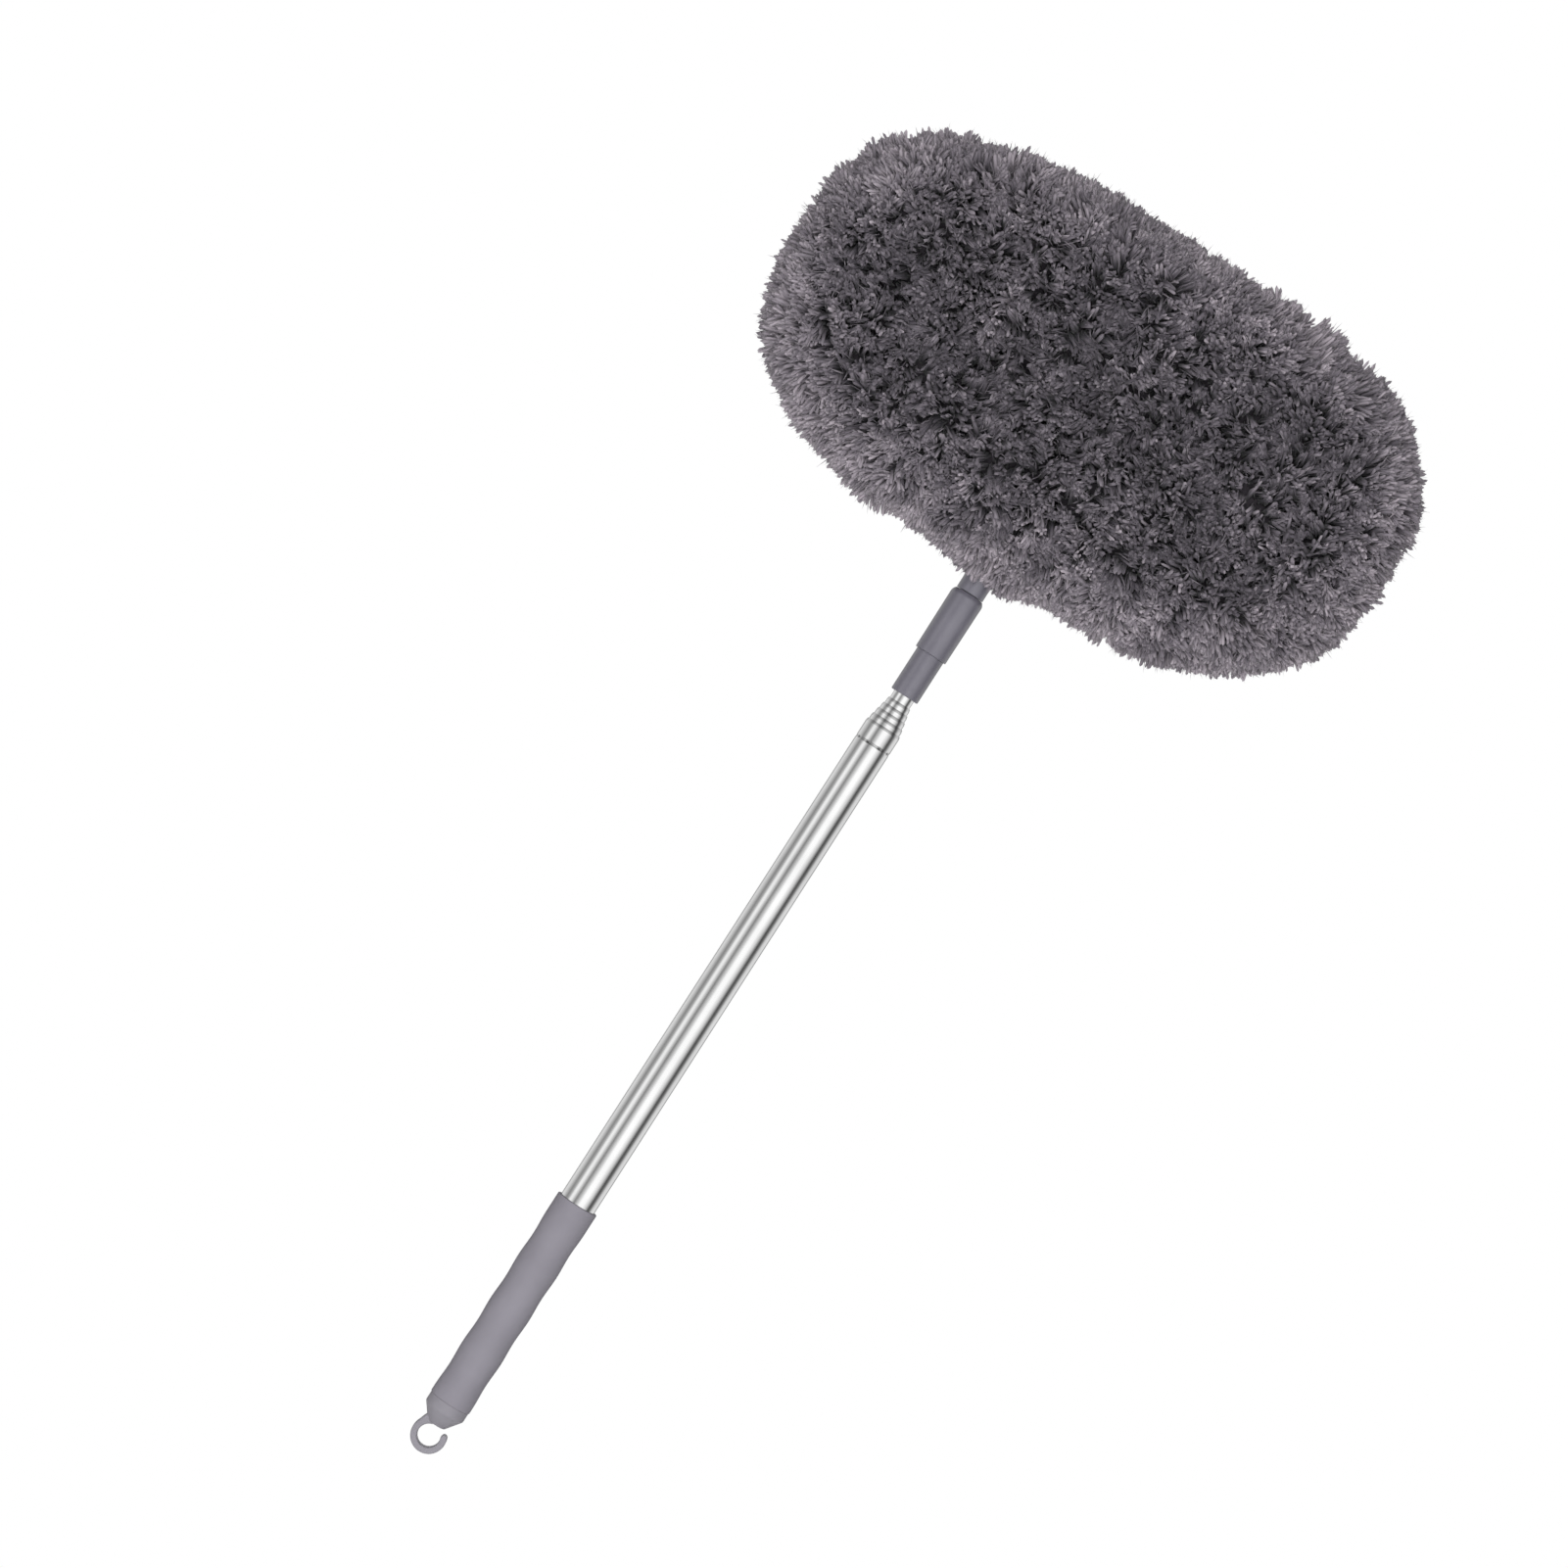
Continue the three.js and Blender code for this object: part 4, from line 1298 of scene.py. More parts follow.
@dataclass(frozen=True)
class StrandKind:
    """One kind of strand: where its rings lie, how wide they are, and how it strays from its tuft."""

    sides: int
    stations: tuple[float, ...]
    widths: tuple[float, ...]
    half_width: float
    root_stray: float
    tip_stray: float
    length_gain: float
    length_spread: float
    bend: float
    tone_shift: float
    tone_spread: float
    width_range: tuple[float, float] = (0.72, 1.28)
    map_step: float = 0.02

    def template(self) -> Skin:
        """Faces of one strand: bands between its rings, a crown to the tip, and a foot that closes the root.

        On the map a strand takes one step across for each of its sides, and its length lies up.

        Returns:
            Faces and map without points, which are rings from the root up and then the tip.
        """
        rings = len(self.widths)
        ring = np.arange(self.sides)
        after = np.roll(ring, -1)
        band = np.stack([ring, after, after + self.sides, ring + self.sides], axis=-1)
        quads = (self.sides * np.arange(rings - 1)[:, None, None] + band).reshape(-1, 4)
        last = self.sides * (rings - 1)
        crown = np.stack([last + ring, last + after, np.full(self.sides, last + self.sides)], axis=-1)
        foot = np.stack([np.zeros(self.sides - 2, int), ring[2:], ring[1:-1]], axis=-1)
        up = np.append(np.repeat(self.stations[:-1], self.sides), 1.0)
        band_across = np.stack([ring, ring + 1, ring + 1, ring], axis=-1)
        quad_map = np.stack([np.tile(band_across, (rings - 1, 1)) * self.map_step, up[quads]], axis=-1)
        crown_across = np.stack([ring, ring + 1, ring + 0.5], axis=-1)
        foot_across = np.tile([0, 2, 1], (self.sides - 2, 1))
        foot_up = np.tile([0, 0, self.map_step], (self.sides - 2, 1))
        triangle_map = np.stack([np.vstack([crown_across, foot_across]) * self.map_step,
                                 np.vstack([up[crown], foot_up])], axis=-1)
        return Skin(np.empty((0, 3)), quads, np.vstack([crown, foot]), quad_map, triangle_map)


YARN = StrandKind(sides=4, stations=(0.0, 0.5, 0.95, 1.0), widths=(0.75, 1.0, 0.9), half_width=1.02,
                  root_stray=0.4, tip_stray=0.8, length_gain=-0.01, length_spread=0.025, bend=0.8,
                  tone_shift=0.0, tone_spread=0.05)
FIBRE = StrandKind(sides=3, stations=(0.0, 0.6, 1.0), widths=(0.8, 1.0), half_width=0.5,
                   root_stray=1.0, tip_stray=1.4, length_gain=0.012, length_spread=0.04, bend=1.6,
                   tone_shift=0.10, tone_spread=0.10)


class Band(Enum):
    """Effects that change round the roll's section, by the angle's cosines where they start and are full.

    The cosine is 1 at the rim and -1 at the slot.
    """

    CREASE_OPENS = (0.2, -1.0)
    CREASE_CUTS = (-0.2, 0.4)
    WIDE_ROOTS = (0.65, -0.1)
    WAIST = (-0.3, 0.3)
    RIM_LENGTH = (-0.1, 0.6)
    RIM_LOOSE = (0.2, 0.8)
    # Painted rim light grows over this band.
    RIM_LIGHT_TONE = (-0.1, 1.05)
    RIM_CALM = (0.1, 0.85)
    # More painted rim light at the outermost edge.
    EDGE_LIGHT_TONE = (0.8, 1.0)

    def share(self, angle: np.ndarray) -> np.ndarray:
        """Share of the effect at angles round the section."""
        return smooth_step(np.cos(angle), *self.value)


@dataclass(frozen=True)
class Tufts:
    """Combed tufts as whole arrays: lower and upper ends, leans, tones, and angles round the ring."""

    low: np.ndarray
    high: np.ndarray
    lean: np.ndarray
    tone: np.ndarray
    turn: np.ndarray

    def sectors(self, count: int) -> list["Tufts"]:
        """Parts the tufts, in order round the ring, into sectors that hold equally many.

        Args:
            count: how many sectors.

        Returns:
            The sectors' tufts.
        """
        parts = np.array_split(np.argsort(self.turn, kind="stable"), count)
        return [Tufts(self.low[part], self.high[part], self.lean[part], self.tone[part], self.turn[part])
                for part in parts]


@dataclass
class FluffyHead:
    """Ring of microfibre pile on a bent wire: cloth, cuffs, packed roots, and strands in ring sectors.

    Lengths are in millimetres, reaches and depths of ripples are shares of the roll's section or of the run
    of tones, and a ripple is given by its wavelength and its depth.
    """

    length: float = 388.0
    height: float = 226.4
    thickness: float = 104.0
    slot_length: float = 170.0
    slot_height: float = 2.0
    outline_powers: tuple[float, float] = (3.1, 2.5)
    loop_powers: tuple[float, float] = (2.8, 2.4)
    slot_powers: tuple[float, float] = (2.5, 2.5)
    rim_power: float = 2.3
    slot_side_power: float = 8.0
    loop_half_length: float = 139.5
    loop_half_height: float = 60.1
    backing_bore: float = 6.3
    backing_radius: float = 7.5
    cuff_bore: float = 7.8
    cuff_radius: float = 9.3
    cuff_length: float = 8.0
    backing_rows: int = 260
    cuff_rows: int = 14
    cloth_sides: int = 48
    fold_count: int = 12
    fold_depth: float = 0.25
    roll_end: float = 20.0
    core_share: float = 0.65
    slot_core_share: float = 1.022
    core_rows: int = 220
    core_columns: int = 72
    core_lump: float = 0.012
    core_lump_length: float = 14.0
    crease_width: float = 6.0
    crease_widening: float = 7.0
    crease_depth: float = 0.14
    waist_depth: float = 0.5
    root_sink: float = 0.03
    tuft_depth: float = 56.0
    fibre_depth: float = 59.0
    tuft_count: int = 48000
    lock_count: int = 13000
    sector_count: int = 10
    search_parts: int = 40
    curve_steps: int = 6001
    crest_steps: int = 400
    crest_angles: tuple[float, float] = (1e-9, 0.5)
    spare_places: int = 3
    place_stray: float = 0.0006
    small_turn: float = 0.004
    slot_floor_cosine: float = -0.8
    slot_floor_sine: float = 0.35
    slot_floor_chance: float = 0.25
    surface_reach: float = 0.985
    reach_ripples: tuple[tuple[float, float], ...] = ((38.0, 0.02), (15.0, 0.016))
    reach_spread: float = 0.01
    slant: float = 0.04
    neck_lift: float = 0.085
    lift_place: float = 50.0
    lift_width: float = 30.0
    lock_lean: float = 5.0
    lock_gather: float = 0.3
    swirl_lean: float = 2.9
    swirl_length: float = 36.0
    stray_lean: float = 1.4
    rim_looseness: float = 0.2
    droop: float = 5.0
    droop_place: float = 3.0
    droop_width: float = 15.0
    # Painted light: the faces are painted darker as shade, and the rim and its outermost edge paler as rim
    # light.
    shaded_face_tone: float = 0.25
    rim_light_tone: float = 0.77
    edge_light_tone: float = 0.08
    tone_ripples: tuple[tuple[float, float], ...] = ((34.0, 0.09), (13.0, 0.08))
    lock_tone: float = 0.12
    strand_tone: float = 0.165
    rim_calm: float = 0.85
    stem_clearance: float = 0.8
    stem_radius: float = 9.8
    stem_axis: float = 0.5
    collar_reach: float = 13.0
    collar_clearance: float = 2.0

    def __post_init__(self) -> None:
        """Takes the head's place from the frame and seeds its chance."""
        self.top = node_span("pile_cover")[1]
        self.centre = self.top - self.height / 2
        self.collar_top = node_span("screw_collar")[1]
        self.stem_top = node_span("head_stem")[1]
        self.rng = np.random.default_rng(SEED)

    @staticmethod
    def oval(half_length: float, half_height: float, turn: np.ndarray,
             powers: tuple[float, float]) -> np.ndarray:
        """Superellipse round the head's centre: x = length sin'(turn), z = -height cos'(turn).

        Args:
            half_length: half its size along X.
            half_height: half its size along Z.
            turn: angles round it, from 0 at its lowest point.
            powers: squareness of its upper and lower halves.

        Returns:
            Array of (x, z) rows.
        """
        power = np.where(np.cos(turn) > 0, powers[1], powers[0])
        x = half_length * squared(np.sin(turn), power)
        return np.stack([x, -half_height * squared(np.cos(turn), power)], axis=-1)

    def roll_point(self, turn: np.ndarray, angle: np.ndarray, share: np.ndarray,
                   across_share: np.ndarray | None = None) -> np.ndarray:
        """Points of the roll: a section, round at its rim and flat beside the slot, carried round the ring.

        Across the roll a point lies at middle + half cos'(angle) share between the slot and the outline, and
        in depth at thickness / 2 sin'(angle) share.

        Args:
            turn: angles round the ring.
            angle: angles round the section; 0 is the rim and half a turn the slot.
            share: distance from the section's middle, 1 at the pile's surface.
            across_share: the distance across the roll, where it isn't the same share.

        Returns:
            Array of points.
        """
        outer = self.oval(self.length / 2, self.height / 2, turn, self.outline_powers)
        inner = self.oval(self.slot_length / 2, self.slot_height / 2, turn, self.slot_powers)
        power = np.where(np.cos(angle) > 0, self.rim_power, self.slot_side_power)
        across = squared(np.cos(angle), power) * (share if across_share is None else across_share)
        deep = squared(np.sin(angle), power) * share * self.thickness / 2
        flat = (outer + inner) / 2 + (outer - inner) / 2 * across[..., None]
        return np.stack([flat[..., 0], deep, flat[..., 1] + self.centre], axis=-1)

    @staticmethod
    def low_bell(turn: np.ndarray, x: np.ndarray, place: float, width: np.ndarray | float) -> np.ndarray:
        """A bell over the lower arm of the ring alone: exp(-((x - place) / width)^2).

        Args:
            turn: angles round the ring.
            x: distances along the arm.
            place: where the bell is highest.
            width: how far from there it falls to 1 / e.

        Returns:
            Values from 0 to 1.
        """
        return np.exp(-(((x - place) / width) ** 2)) * (np.cos(turn) > 0)

    def parting(self, turn: np.ndarray, angle: np.ndarray) -> np.ndarray:
        """How far a place lies in the crease between the roll's two ends.

        The crease widens from the rim to the slot, where the ends round away from each other.

        Args:
            turn: angles round the ring.
            angle: angles round the section.

        Returns:
            Values from 0 to 1.
        """
        x = self.roll_point(turn, angle, np.ones_like(turn))[..., 0]
        width = self.crease_width + self.crease_widening * Band.CREASE_OPENS.share(angle)
        return self.low_bell(turn, x, 0.0, width)

    @staticmethod
    def drawn_along(curve: np.ndarray, angles: np.ndarray, shares: np.ndarray) -> np.ndarray:
        """Angles at given shares of the length of a curve.

        Args:
            curve: points of the curve.
            angles: the angle of each point.
            shares: places along the curve, 0 to 1.

        Returns:
            One angle for each share.
        """
        run = np.concatenate([[0.0], np.cumsum(np.linalg.norm(np.diff(curve, axis=0), axis=1))])
        return np.interp(shares * run[-1], run, angles)

    def small_step(self, turn: np.ndarray, angle: np.ndarray) -> np.ndarray:
        """Length of the same small turn round the ring at each place of the roll.

        Args:
            turn: angles round the ring.
            angle: angles round the section.

        Returns:
            Lengths in millimetres.
        """
        whole = np.ones_like(turn)
        ahead = self.roll_point(turn + self.small_turn, angle, whole)
        return np.linalg.norm(ahead - self.roll_point(turn - self.small_turn, angle, whole), axis=-1)

    def even_places(self, count: int) -> tuple[np.ndarray, np.ndarray]:
        """Places spread evenly over the roll, thinned out deep in the slot where nothing shows.

        Shares of the outline's and the section's lengths go up in steps of the plastic number's powers,
        which leaves no clusters or holes. They are kept with a chance of how much shorter the ring is there
        than at the outline. The section is followed more finely beside its crest, where a small angle spans
        much of the flat face.

        Args:
            count: how many places.

        Returns:
            Angles round the ring and round the section.
        """
        fine = np.linspace(0, FULL_TURN, self.curve_steps)
        outline = self.oval(self.length / 2, self.height / 2, fine, self.outline_powers)
        step = np.arange(self.spare_places * count)[:, None] / PLASTIC_NUMBER ** np.array([1, 2])
        start = self.rng.uniform(size=2)
        shares = (step + start + self.rng.normal(0, self.place_stray, step.shape)) % 1
        turn = self.drawn_along(outline, fine, shares[:, 0])
        crest = np.geomspace(*self.crest_angles, self.crest_steps)
        fine = np.unique(np.concatenate([fine, math.pi / 2 + crest, 3 * math.pi / 2 - crest]))
        power = np.where(np.cos(fine) > 0, self.rim_power, self.slot_side_power)
        section = np.stack([squared(np.cos(fine), power), squared(np.sin(fine), power)], axis=-1)
        angle = self.drawn_along(section, fine, shares[:, 1])
        chance = self.small_step(turn, angle) / self.small_step(turn, 0 * angle)
        deep_in_slot = np.cos(angle) < self.slot_floor_cosine
        deep_in_slot &= np.abs(np.sin(angle)) < self.slot_floor_sine
        chance *= np.where(deep_in_slot, self.slot_floor_chance, 1.0)
        kept = np.flatnonzero(self.rng.uniform(size=len(turn)) < chance)[:count]
        LOG.info("%d places asked for, %d found", count, len(kept))
        return turn[kept], angle[kept]

    def clear_of_stem(self, points: np.ndarray) -> np.ndarray:
        """Pushes points out of the stem and keeps them above the collar.

        Args:
            points: points of the strands.

        Returns:
            The moved points.
        """
        radius = np.hypot(points[..., 0], points[..., 1])
        least = self.stem_radius + self.stem_clearance
        inside = (points[..., 2] < self.stem_top) & (radius < least)
        growth = np.where(inside, least / np.maximum(radius, self.stem_axis), 1.0)
        moved = points * np.stack([growth, growth, np.ones_like(growth)], axis=-1)
        near = np.hypot(moved[..., 0], moved[..., 1]) < self.collar_reach
        floor = np.where(near, self.collar_top + self.collar_clearance, -np.inf)
        moved[..., 2] = np.maximum(moved[..., 2], floor)
        return moved

    def root_point(self, turn: np.ndarray, angle: np.ndarray, sink: np.ndarray | float = 0.0) -> np.ndarray:
        """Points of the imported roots: as wide as the pile beside the slot, and waisted round the stem.

        Args:
            turn: angles round the ring.
            angle: angles round the section.
            sink: share by which a point lies below the roots.

        Returns:
            Array of points.
        """
        waist = 1 - self.waist_depth * self.parting(turn, angle) * Band.WAIST.share(angle)
        deep = (self.core_share - sink) * waist
        widening = (self.slot_core_share - self.core_share) * Band.WIDE_ROOTS.share(angle)
        across = (self.core_share + widening - sink) * waist
        return self.roll_point(turn, angle, deep, across)

    def nearest(self, points: np.ndarray, centres: np.ndarray) -> np.ndarray:
        """Number of the centre nearest to each point: greatest point . centre - |centre|^2 / 2.

        Args:
            points: rows of points.
            centres: rows of centres.

        Returns:
            One number for each point.
        """
        half_squares = (centres**2).sum(axis=-1) / 2
        parts = np.array_split(points, self.search_parts)
        return np.concatenate([np.argmax(part @ centres.T - half_squares, axis=1) for part in parts])

    def rippled(self, ripples: tuple[tuple[float, float], ...], points: np.ndarray) -> np.ndarray:
        """Sum of ripples, each given by its wavelength and its depth, at points."""
        return sum(depth * Ripple(self.rng, length)(points) for length, depth in ripples)

    def reach(self, turn: np.ndarray, angle: np.ndarray, surface: np.ndarray) -> np.ndarray:
        """How far tufts reach, as a share of the roll's section.

        The reach varies by ripples and by chance. At the rim it is less to either side of the stem, and more
        towards the upper right and the lower left, by slant sin(2 turn). The crease cuts it shorter.

        Args:
            turn: angles round the ring.
            angle: angles round the section.
            surface: the tufts' places on the roll.

        Returns:
            One share for each tuft.
        """
        lift = self.low_bell(turn, np.abs(surface[:, 0]), self.lift_place, self.lift_width)
        shortened = self.slant * np.sin(2 * turn) + self.neck_lift * lift
        reach = self.surface_reach - Band.RIM_LENGTH.share(angle) * shortened
        reach += self.rippled(self.reach_ripples, surface)
        reach += self.rng.normal(0, self.reach_spread, len(turn))
        return reach * (1 - self.crease_depth * self.parting(turn, angle) * Band.CREASE_CUTS.share(angle))

    def leaning(self, angle: np.ndarray, surface: np.ndarray, lock: np.ndarray) -> np.ndarray:
        """How far tufts lean: a slow swirl, their lock's lean and a stray of their own, looser at the rim.

        Args:
            angle: angles round the section.
            surface: the tufts' places on the roll.
            lock: the number of each tuft's lock.

        Returns:
            One row of millimetres for each tuft.
        """
        swirl = np.stack([Ripple(self.rng, self.swirl_length)(surface) for _ in range(3)], axis=-1)
        of_locks = self.rng.normal(0, self.lock_lean, (self.lock_count, 3))
        own = self.rng.normal(0, self.stray_lean, surface.shape)
        looseness = 1.0 + self.rim_looseness * Band.RIM_LOOSE.share(angle)
        return (swirl * self.swirl_lean + (of_locks[lock] + own)) * looseness[:, None]

    def tones(self, angle: np.ndarray, surface: np.ndarray, lock: np.ndarray) -> np.ndarray:
        """Tones of tufts: paler towards the rim and palest at its edge as painted rim light, darker on the
        faces as painted shade, and varied at random by ripples, by lock and by tuft.

        At the rim the tufts of a lock differ less.

        Args:
            angle: angles round the section.
            surface: the tufts' places on the roll.
            lock: the number of each tuft's lock.

        Returns:
            One tone for each tuft, 0 for the darkest strand and 1 for the palest.
        """
        # Painted face shade and rim light, then tone that differs at random.
        tone = self.shaded_face_tone + (self.rim_light_tone - self.shaded_face_tone) * Band.RIM_LIGHT_TONE.share(angle)
        tone += self.edge_light_tone * Band.EDGE_LIGHT_TONE.share(angle)
        tone += self.rippled(self.tone_ripples, surface)
        of_locks = self.rng.normal(0, self.lock_tone, self.lock_count)
        calm = 1 - self.rim_calm * Band.RIM_CALM.share(angle)
        return tone + (of_locks[lock] + self.rng.normal(0, self.strand_tone, len(lock)) * calm)

    def tufts(self) -> Tufts:
        """Combs the pile.

        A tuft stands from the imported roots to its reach. Its upper end moves sideways by its lean and down
        by lean^2 / (2 length), which keeps its length, and gathers towards the middle of its lock. Round the
        stem the pile also hangs lower.

        Returns:
            The combed tufts.
        """
        turn, angle = self.even_places(self.tuft_count)
        surface = self.roll_point(turn, angle, np.ones_like(turn))
        low = self.root_point(turn, angle, self.root_sink)
        high = self.roll_point(turn, angle, self.reach(turn, angle, surface))
        locks = self.roll_point(*self.even_places(self.lock_count), np.ones(self.lock_count))
        lock = self.nearest(surface, locks)
        lean = self.leaning(angle, surface, lock)
        outwards = high - low
        length = np.linalg.norm(outwards, axis=1, keepdims=True)
        outwards /= length
        lean -= (lean * outwards).sum(axis=1, keepdims=True) * outwards
        high += lean - outwards * (lean**2).sum(axis=1, keepdims=True) / (2 * length)
        high += (locks[lock] - surface) * self.lock_gather
        hanging = self.low_bell(turn, surface[:, 0], self.droop_place, self.droop_width)
        high[:, 2] -= self.droop * hanging * Band.RIM_LOOSE.share(angle)
        high[:, 1] = np.clip(high[:, 1], -self.tuft_depth, self.tuft_depth)
        return Tufts(low, high, lean, self.tones(angle, surface, lock), turn)

    def strand_skin(self, kind: StrandKind, tufts: Tufts) -> Skin:
        """Strands of one kind as closed spindles: rings along a bent line, and a point at the tip.

        A line point is root + (tip - root) v + bend 4 v (1 - v), where the bend takes back a quarter of the
        lean, so that the lean grows as v^2. Each ring is its line point plus its width times
        cos(turn) side + sin(turn) other, with side and other square to the strand. On the map a strand's
        tone lies across and its length lies up.

        Args:
            kind: the kind of strand.
            tufts: the tufts that get one strand each.

        Returns:
            The skin of all the strands.
        """
        rng = self.rng
        count = len(tufts.low)
        stretch = rng.normal(kind.length_gain, kind.length_spread, (count, 1))
        tips = tufts.high + (tufts.high - tufts.low) * stretch
        tips += rng.normal(0, kind.tip_stray, tips.shape)
        tips[:, 1] = np.clip(tips[:, 1], -self.fibre_depth, self.fibre_depth)
        roots = tufts.low + rng.normal(0, kind.root_stray, tips.shape)
        bend = rng.normal(0, kind.bend, roots.shape) - tufts.lean / 4
        along = tips - roots
        v = np.array(kind.stations)[None, :, None]
        line = self.clear_of_stem(roots[:, None] + along[:, None] * v + bend[:, None] * 4 * v * (1 - v))
        along /= np.linalg.norm(along, axis=1, keepdims=True)
        side = np.cross(along, rng.normal(size=along.shape))
        side /= np.linalg.norm(side, axis=1, keepdims=True)
        other = np.cross(along, side)
        turn = circle_angles(kind.sides)[None, :, None]
        offset = np.cos(turn) * side[:, None] + np.sin(turn) * other[:, None]
        width = kind.half_width * rng.uniform(*kind.width_range, (count, 1)) * np.array(kind.widths)
        wall = line[:, :-1, None] + width[:, :, None, None] * offset[:, None]
        points = np.concatenate([wall.reshape(count, -1, 3), line[:, -1:]], axis=1)
        tones = np.clip(tufts.tone + rng.normal(kind.tone_shift, kind.tone_spread, count), 0, 1)
        across = tones * (1 - kind.sides * kind.map_step)
        shift = np.stack([across, np.zeros(count)], axis=-1)[:, None, None]
        first = points.shape[1] * np.arange(count)[:, None, None]
        one = kind.template()
        return Skin(
            points.reshape(-1, 3), (first + one.quads).reshape(-1, 4),
            (first + one.triangles).reshape(-1, 3), (shift + one.quad_map).reshape(-1, 4, 2),
            (shift + one.triangle_map).reshape(-1, 3, 2),
        )

    def core_skin(self) -> Skin:
        """Packed roots, painted dark as the shade deep in the pile: the roll at the roots' share, lumpy by a
        ripple and waisted in the crease.

        Returns:
            The closed skin.
        """
        rows, columns = circle_angles(self.core_rows), circle_angles(self.core_columns)
        turn, angle = np.meshgrid(rows, columns, indexing="ij")
        surface = self.roll_point(turn, angle, np.ones_like(turn))
        lumps = self.core_lump * Ripple(self.rng, self.core_lump_length)(surface)
        return closed_skin(self.root_point(turn, angle, lumps)[:, ::-1])

    def tube_skin(self, start: float, end: float, bore: float, radius: float, rows: int,
                  ripple: float) -> Skin:
        """A cloth tube along the loop line, with a wall, and gathered by folds round it.

        A wall point is line + r (cos(a) outwards + sin(a) y), where r is the bore or the outside plus
        ripple cos(folds a).

        Args:
            start: angle of the loop line where it starts.
            end: angle where it ends.
            bore: inner radius.
            radius: outer radius.
            rows: steps along the line.
            ripple: depth of the folds.

        Returns:
            The closed skin with a map.
        """
        turn = np.linspace(start, end, rows)
        line = self.oval(self.loop_half_length, self.loop_half_height, turn, self.loop_powers)
        tangent = np.gradient(line, axis=0)
        tangent /= np.linalg.norm(tangent, axis=1, keepdims=True)
        outwards = np.stack([tangent[:, 1], -tangent[:, 0]], axis=-1)
        around = circle_angles(self.cloth_sides)
        fold = ripple * np.cos(self.fold_count * around)

        def wall(size: np.ndarray) -> np.ndarray:
            """One surface of the wall.

            Args:
                size: its radii round the section.

            Returns:
                Rows of points along the line.
            """
            flat = line[:, None] + outwards[:, None] * (size * np.cos(around))[None, :, None]
            deep = np.broadcast_to(size * np.sin(around), flat.shape[:2])
            return np.stack([flat[..., 0], deep, flat[..., 1] + self.centre], axis=-1)

        grid = np.concatenate([wall(radius + fold), wall(bore + fold)[::-1]])
        return closed_skin(grid, mapped=True)

    def build_cloth(self, finishes: Finishes) -> None:
        """Builds the knitted backing along the loop line, and a gathered elastic cuff at each end.

        Args:
            finishes: the duster's finishes.
        """
        power = self.loop_powers[1]
        first = math.asin((self.roll_end / self.loop_half_length) ** (power / 2))
        last = math.asin(((self.roll_end + self.cuff_length) / self.loop_half_length) ** (power / 2))
        skin = self.tube_skin(first, FULL_TURN - first, self.backing_bore, self.backing_radius,
                              self.backing_rows, 0.0)
        backing = put_piece("knitted_backing", skin, finishes[Slot.KNIT_CLOTH], "head")
        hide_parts("sleeve_backing")
        spans = {Side.RIGHT: (first, last), Side.LEFT: (FULL_TURN - last, FULL_TURN - first)}
        for side, (start, end) in spans.items():
            name = side.name.lower()
            skin = self.tube_skin(start, end, self.cuff_bore, self.cuff_radius, self.cuff_rows,
                                  self.fold_depth)
            cuff = put_piece(f"elastic_cuff_{name}", skin, finishes[Slot.ELASTIC_BAND], "head")
            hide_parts(f"sleeve_cuff_{name}")

    def build_pile(self, finishes: Finishes) -> None:
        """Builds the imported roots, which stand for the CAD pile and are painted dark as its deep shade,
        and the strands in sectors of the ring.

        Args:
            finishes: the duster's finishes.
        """
        # The roots' finish is painted shade deep in the pile.
        core = put_piece("shaded_pile_roots", self.core_skin(), finishes.shaded_pile_core, "head",
                         None)
        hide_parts("pile_cover")
        for number, sector in enumerate(self.tufts().sectors(self.sector_count), start=1):
            skin = self.strand_skin(YARN, sector).joined(self.strand_skin(FIBRE, sector))
            put_piece(f"pile_strands_{number}", skin, finishes[Slot.MICROFIBRE_PILE], "head",
                      None)

    def build(self, frame: dict, finishes: Finishes) -> None:
        """Builds the soft parts of the head, and dresses the wire and the hose inside it.

        Args:
            frame: the loaded frame.
            finishes: the duster's finishes.
        """
        redress(frame, ["wire_loop"], finishes[Slot.WIRE_STEEL])
        redress(frame, ["core_hose"], finishes[Slot.HOSE_PLASTIC])
        self.build_cloth(finishes)
        self.build_pile(finishes)


@dataclass(frozen=True)
class Lamp:
    """A square soft lamp: its place and its side in metres, and its power in watts."""

    name: str
    place: tuple[float, float, float]
    size: float
    power: float


LAMPS = (
    Lamp("front_lamp", (-0.4, -3.1, 0.8), size=2.2, power=62.0),
    Lamp("low_lamp", (0.3, -2.2, -0.4), size=1.0, power=18.0),
    Lamp("back_lamp", (0.3, 3.0, 0.9), size=2.4, power=64.0),
)


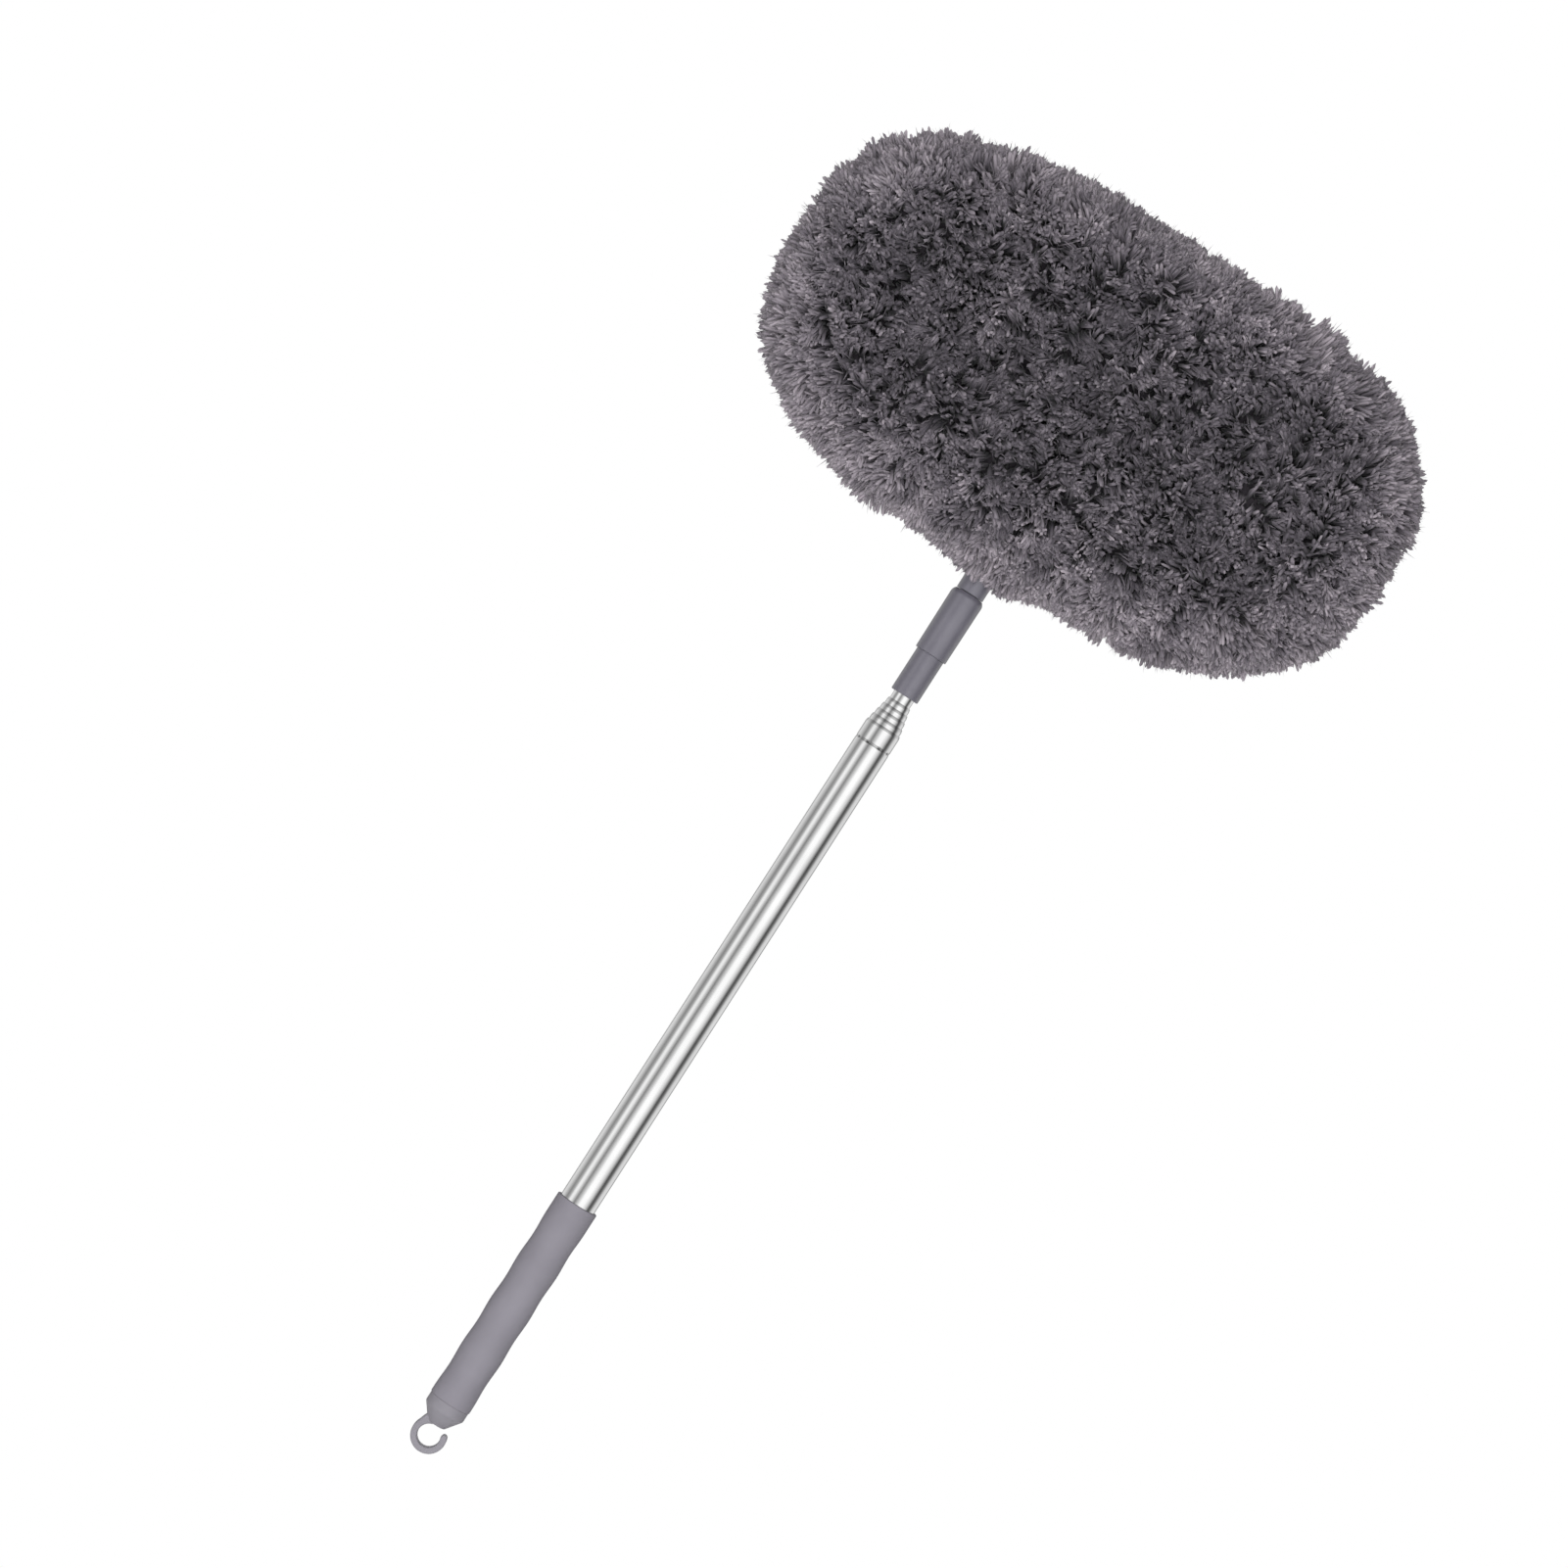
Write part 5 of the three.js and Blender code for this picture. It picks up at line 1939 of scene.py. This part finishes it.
@dataclass
class Studio:
    """White room round the duster: camera, soft lamps, walls for polished steel to mirror, a low floor.

    The wall panels are pairs of a compass angle in degrees, 0 at the front, and a level of light.
    """

    lean_degrees: float = 32.743
    target: tuple[float, float, float] = (-0.030, 0.0, 0.327)
    frame_width: float = 0.8805
    sensor_mm: float = 36.0
    lens_mm: float = 110.0
    floor_height: float = -0.72
    floor_radius: float = 1.6
    floor_sides: int = 64
    floor_grey: float = 0.86
    shadow_radius: tuple[float, float] = (0.4, 1.5)
    room_light: float = 0.25
    wall_panels: tuple[tuple[float, float], ...] = (
        (-180, 1.0), (-168, 0.9), (-152, 0.25), (-136, 0.8), (-116, 0.72), (-84, 0.26), (-68, 0.44),
        (-56, 1.0), (-46, 1.0), (-23, 0.22), (0, 0.76), (10, 1.15), (34, 1.15), (52, 0.75), (74, 0.06),
        (88, 0.16), (108, 0.74), (134, 0.85), (152, 0.2), (166, 0.8), (180, 1.0),
    )

    def build_camera(self) -> None:
        """Aims the camera level at the duster's broad face, rolled so that the pole leans to the right."""
        lean = math.radians(self.lean_degrees)
        right = Vector((math.cos(lean), 0.0, math.sin(lean)))
        up = Vector((-math.sin(lean), 0.0, math.cos(lean)))
        back = Vector((0.0, -1.0, 0.0))
        data = bpy.data.cameras.new("photo_camera")
        data.sensor_width = self.sensor_mm
        data.lens = self.lens_mm
        camera = add_object("photo_camera", data)
        distance = self.lens_mm / self.sensor_mm * self.frame_width
        turn = Matrix((right, up, back)).transposed().to_4x4()
        camera.matrix_world = Matrix.Translation(Vector(self.target) + back * distance) @ turn
        bpy.context.scene.camera = camera

    def build_lamps(self) -> None:
        """Adds the lamps, aimed at the duster; glossy surfaces don't mirror them."""
        for lamp in LAMPS:
            data = bpy.data.lights.new(lamp.name, "AREA")
            data.size = lamp.size
            data.energy = lamp.power
            hung = add_object(lamp.name, data)
            hung.location = lamp.place
            beam = Vector(self.target) - Vector(lamp.place)
            hung.rotation_euler = beam.to_track_quat("-Z", "Y").to_euler()
            hung.visible_glossy = False

    def build_room(self) -> None:
        """Sets the world: white to the camera, soft grey as light, and wall panels to glossy rays.

        The panels are bands of a ramp over the compass angle, atan2(x, -y) / a full turn + 1/2, and they
        darken towards the ceiling and the ground.
        """
        world = bpy.data.worlds.new("white_room")
        bpy.context.scene.world = world
        world.use_nodes = True
        wiring = Wiring(world.node_tree)
        back = world.node_tree.nodes["Background"]
        place = wiring.add("TexCoord")
        split = wiring.add("SeparateXYZ")
        wiring.join(place.outputs["Generated"], split.inputs["Vector"])
        behind = wiring.math("MULTIPLY", split.outputs["Y"], -1.0)
        compass = wiring.math("ARCTAN2", split.outputs["X"], behind)
        share = wiring.math("ADD", wiring.math("DIVIDE", compass, FULL_TURN), 0.5)
        stops = [(degrees / 360 + 0.5, grey(level)) for degrees, level in self.wall_panels]
        walls = wiring.ramp(share, stops)
        dimming = {"From Min": 0.25, "From Max": 0.7, "To Min": 1.0, "To Max": 0.1}
        ceiling = wiring.add("MapRange", dimming, interpolation_type="SMOOTHSTEP")
        steep = wiring.math("ABSOLUTE", split.outputs["Z"], 0.0)
        wiring.join(steep, ceiling.inputs["Value"])
        dimmed = wiring.add("VectorMath", operation="SCALE")
        wiring.join(walls, dimmed.inputs[0])
        wiring.join(ceiling.outputs["Result"], dimmed.inputs["Scale"])
        path = wiring.add("LightPath")
        dim = grey(self.room_light)
        lit = wiring.blend(path.outputs["Is Glossy Ray"], dim, dimmed.outputs["Vector"])
        direct = wiring.math("MAXIMUM", path.outputs["Is Camera Ray"], path.outputs["Is Transmission Ray"])
        wiring.join(wiring.blend(direct, lit, WHITE), back.inputs["Color"])
        fill(back, {"Strength": 1.0})

    def build_floor(self) -> None:
        """Lays a pale round floor that keeps the duster's shadow, and turns plain white away from it."""
        material, wiring, shader = new_material("pale_floor")
        fill(shader, {"Base Color": (*grey(self.floor_grey), 1.0), "Roughness": 0.9})
        place = wiring.add("TexCoord")
        split = wiring.add("SeparateXYZ")
        wiring.join(place.outputs["Object"], split.inputs["Vector"])
        squares = [wiring.math("POWER", split.outputs[axis], 2.0) for axis in ("X", "Y")]
        distance = wiring.math("SQRT", wiring.math("ADD", *squares), 0.0)
        shadow = dict(zip(("From Min", "From Max"), self.shadow_radius))
        fade = wiring.add("MapRange", shadow, interpolation_type="SMOOTHSTEP")
        wiring.join(distance, fade.inputs["Value"])
        path = wiring.add("LightPath")
        seen = wiring.math("MAXIMUM", path.outputs["Is Camera Ray"], path.outputs["Is Glossy Ray"])
        seen = wiring.math("MAXIMUM", seen, path.outputs["Is Transmission Ray"])
        white = wiring.add("Emission")
        mix = wiring.add("MixShader")
        wiring.join(wiring.math("MULTIPLY", fade.outputs["Result"], seen), mix.inputs[0])
        wiring.join(shader.outputs["BSDF"], mix.inputs[1])
        wiring.join(white.outputs["Emission"], mix.inputs[2])
        output = material.node_tree.nodes["Material Output"]
        wiring.join(mix.outputs["Shader"], output.inputs["Surface"])
        rim = turned_grid(np.array([(self.floor_radius, self.floor_height)]), self.floor_sides)[0]
        mesh = bpy.data.meshes.new("pale_floor")
        mesh.from_pydata(rim.tolist(), [], [list(range(self.floor_sides))])
        mesh.materials.append(material)
        floor = add_object("pale_floor", mesh)

    def build(self) -> None:
        """Builds the camera, the room, the lamps and the floor."""
        bpy.context.scene.view_settings.view_transform = "Standard"
        self.build_camera()
        self.build_room()
        self.build_lamps()
        self.build_floor()


def main() -> None:
    """Builds the studio and the duster's sub-assemblies in order."""
    logging.basicConfig(level=logging.INFO, format="%(name)s: %(message)s")
    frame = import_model()
    Studio().build()
    finishes = Finishes()
    TelescopicPole().build(frame, finishes)
    HandGrip().build(finishes)
    HangingHook().build(finishes)
    ScrewJoint().build(finishes)
    FluffyHead().build(frame, finishes)


if __name__ == "__main__":
    main()
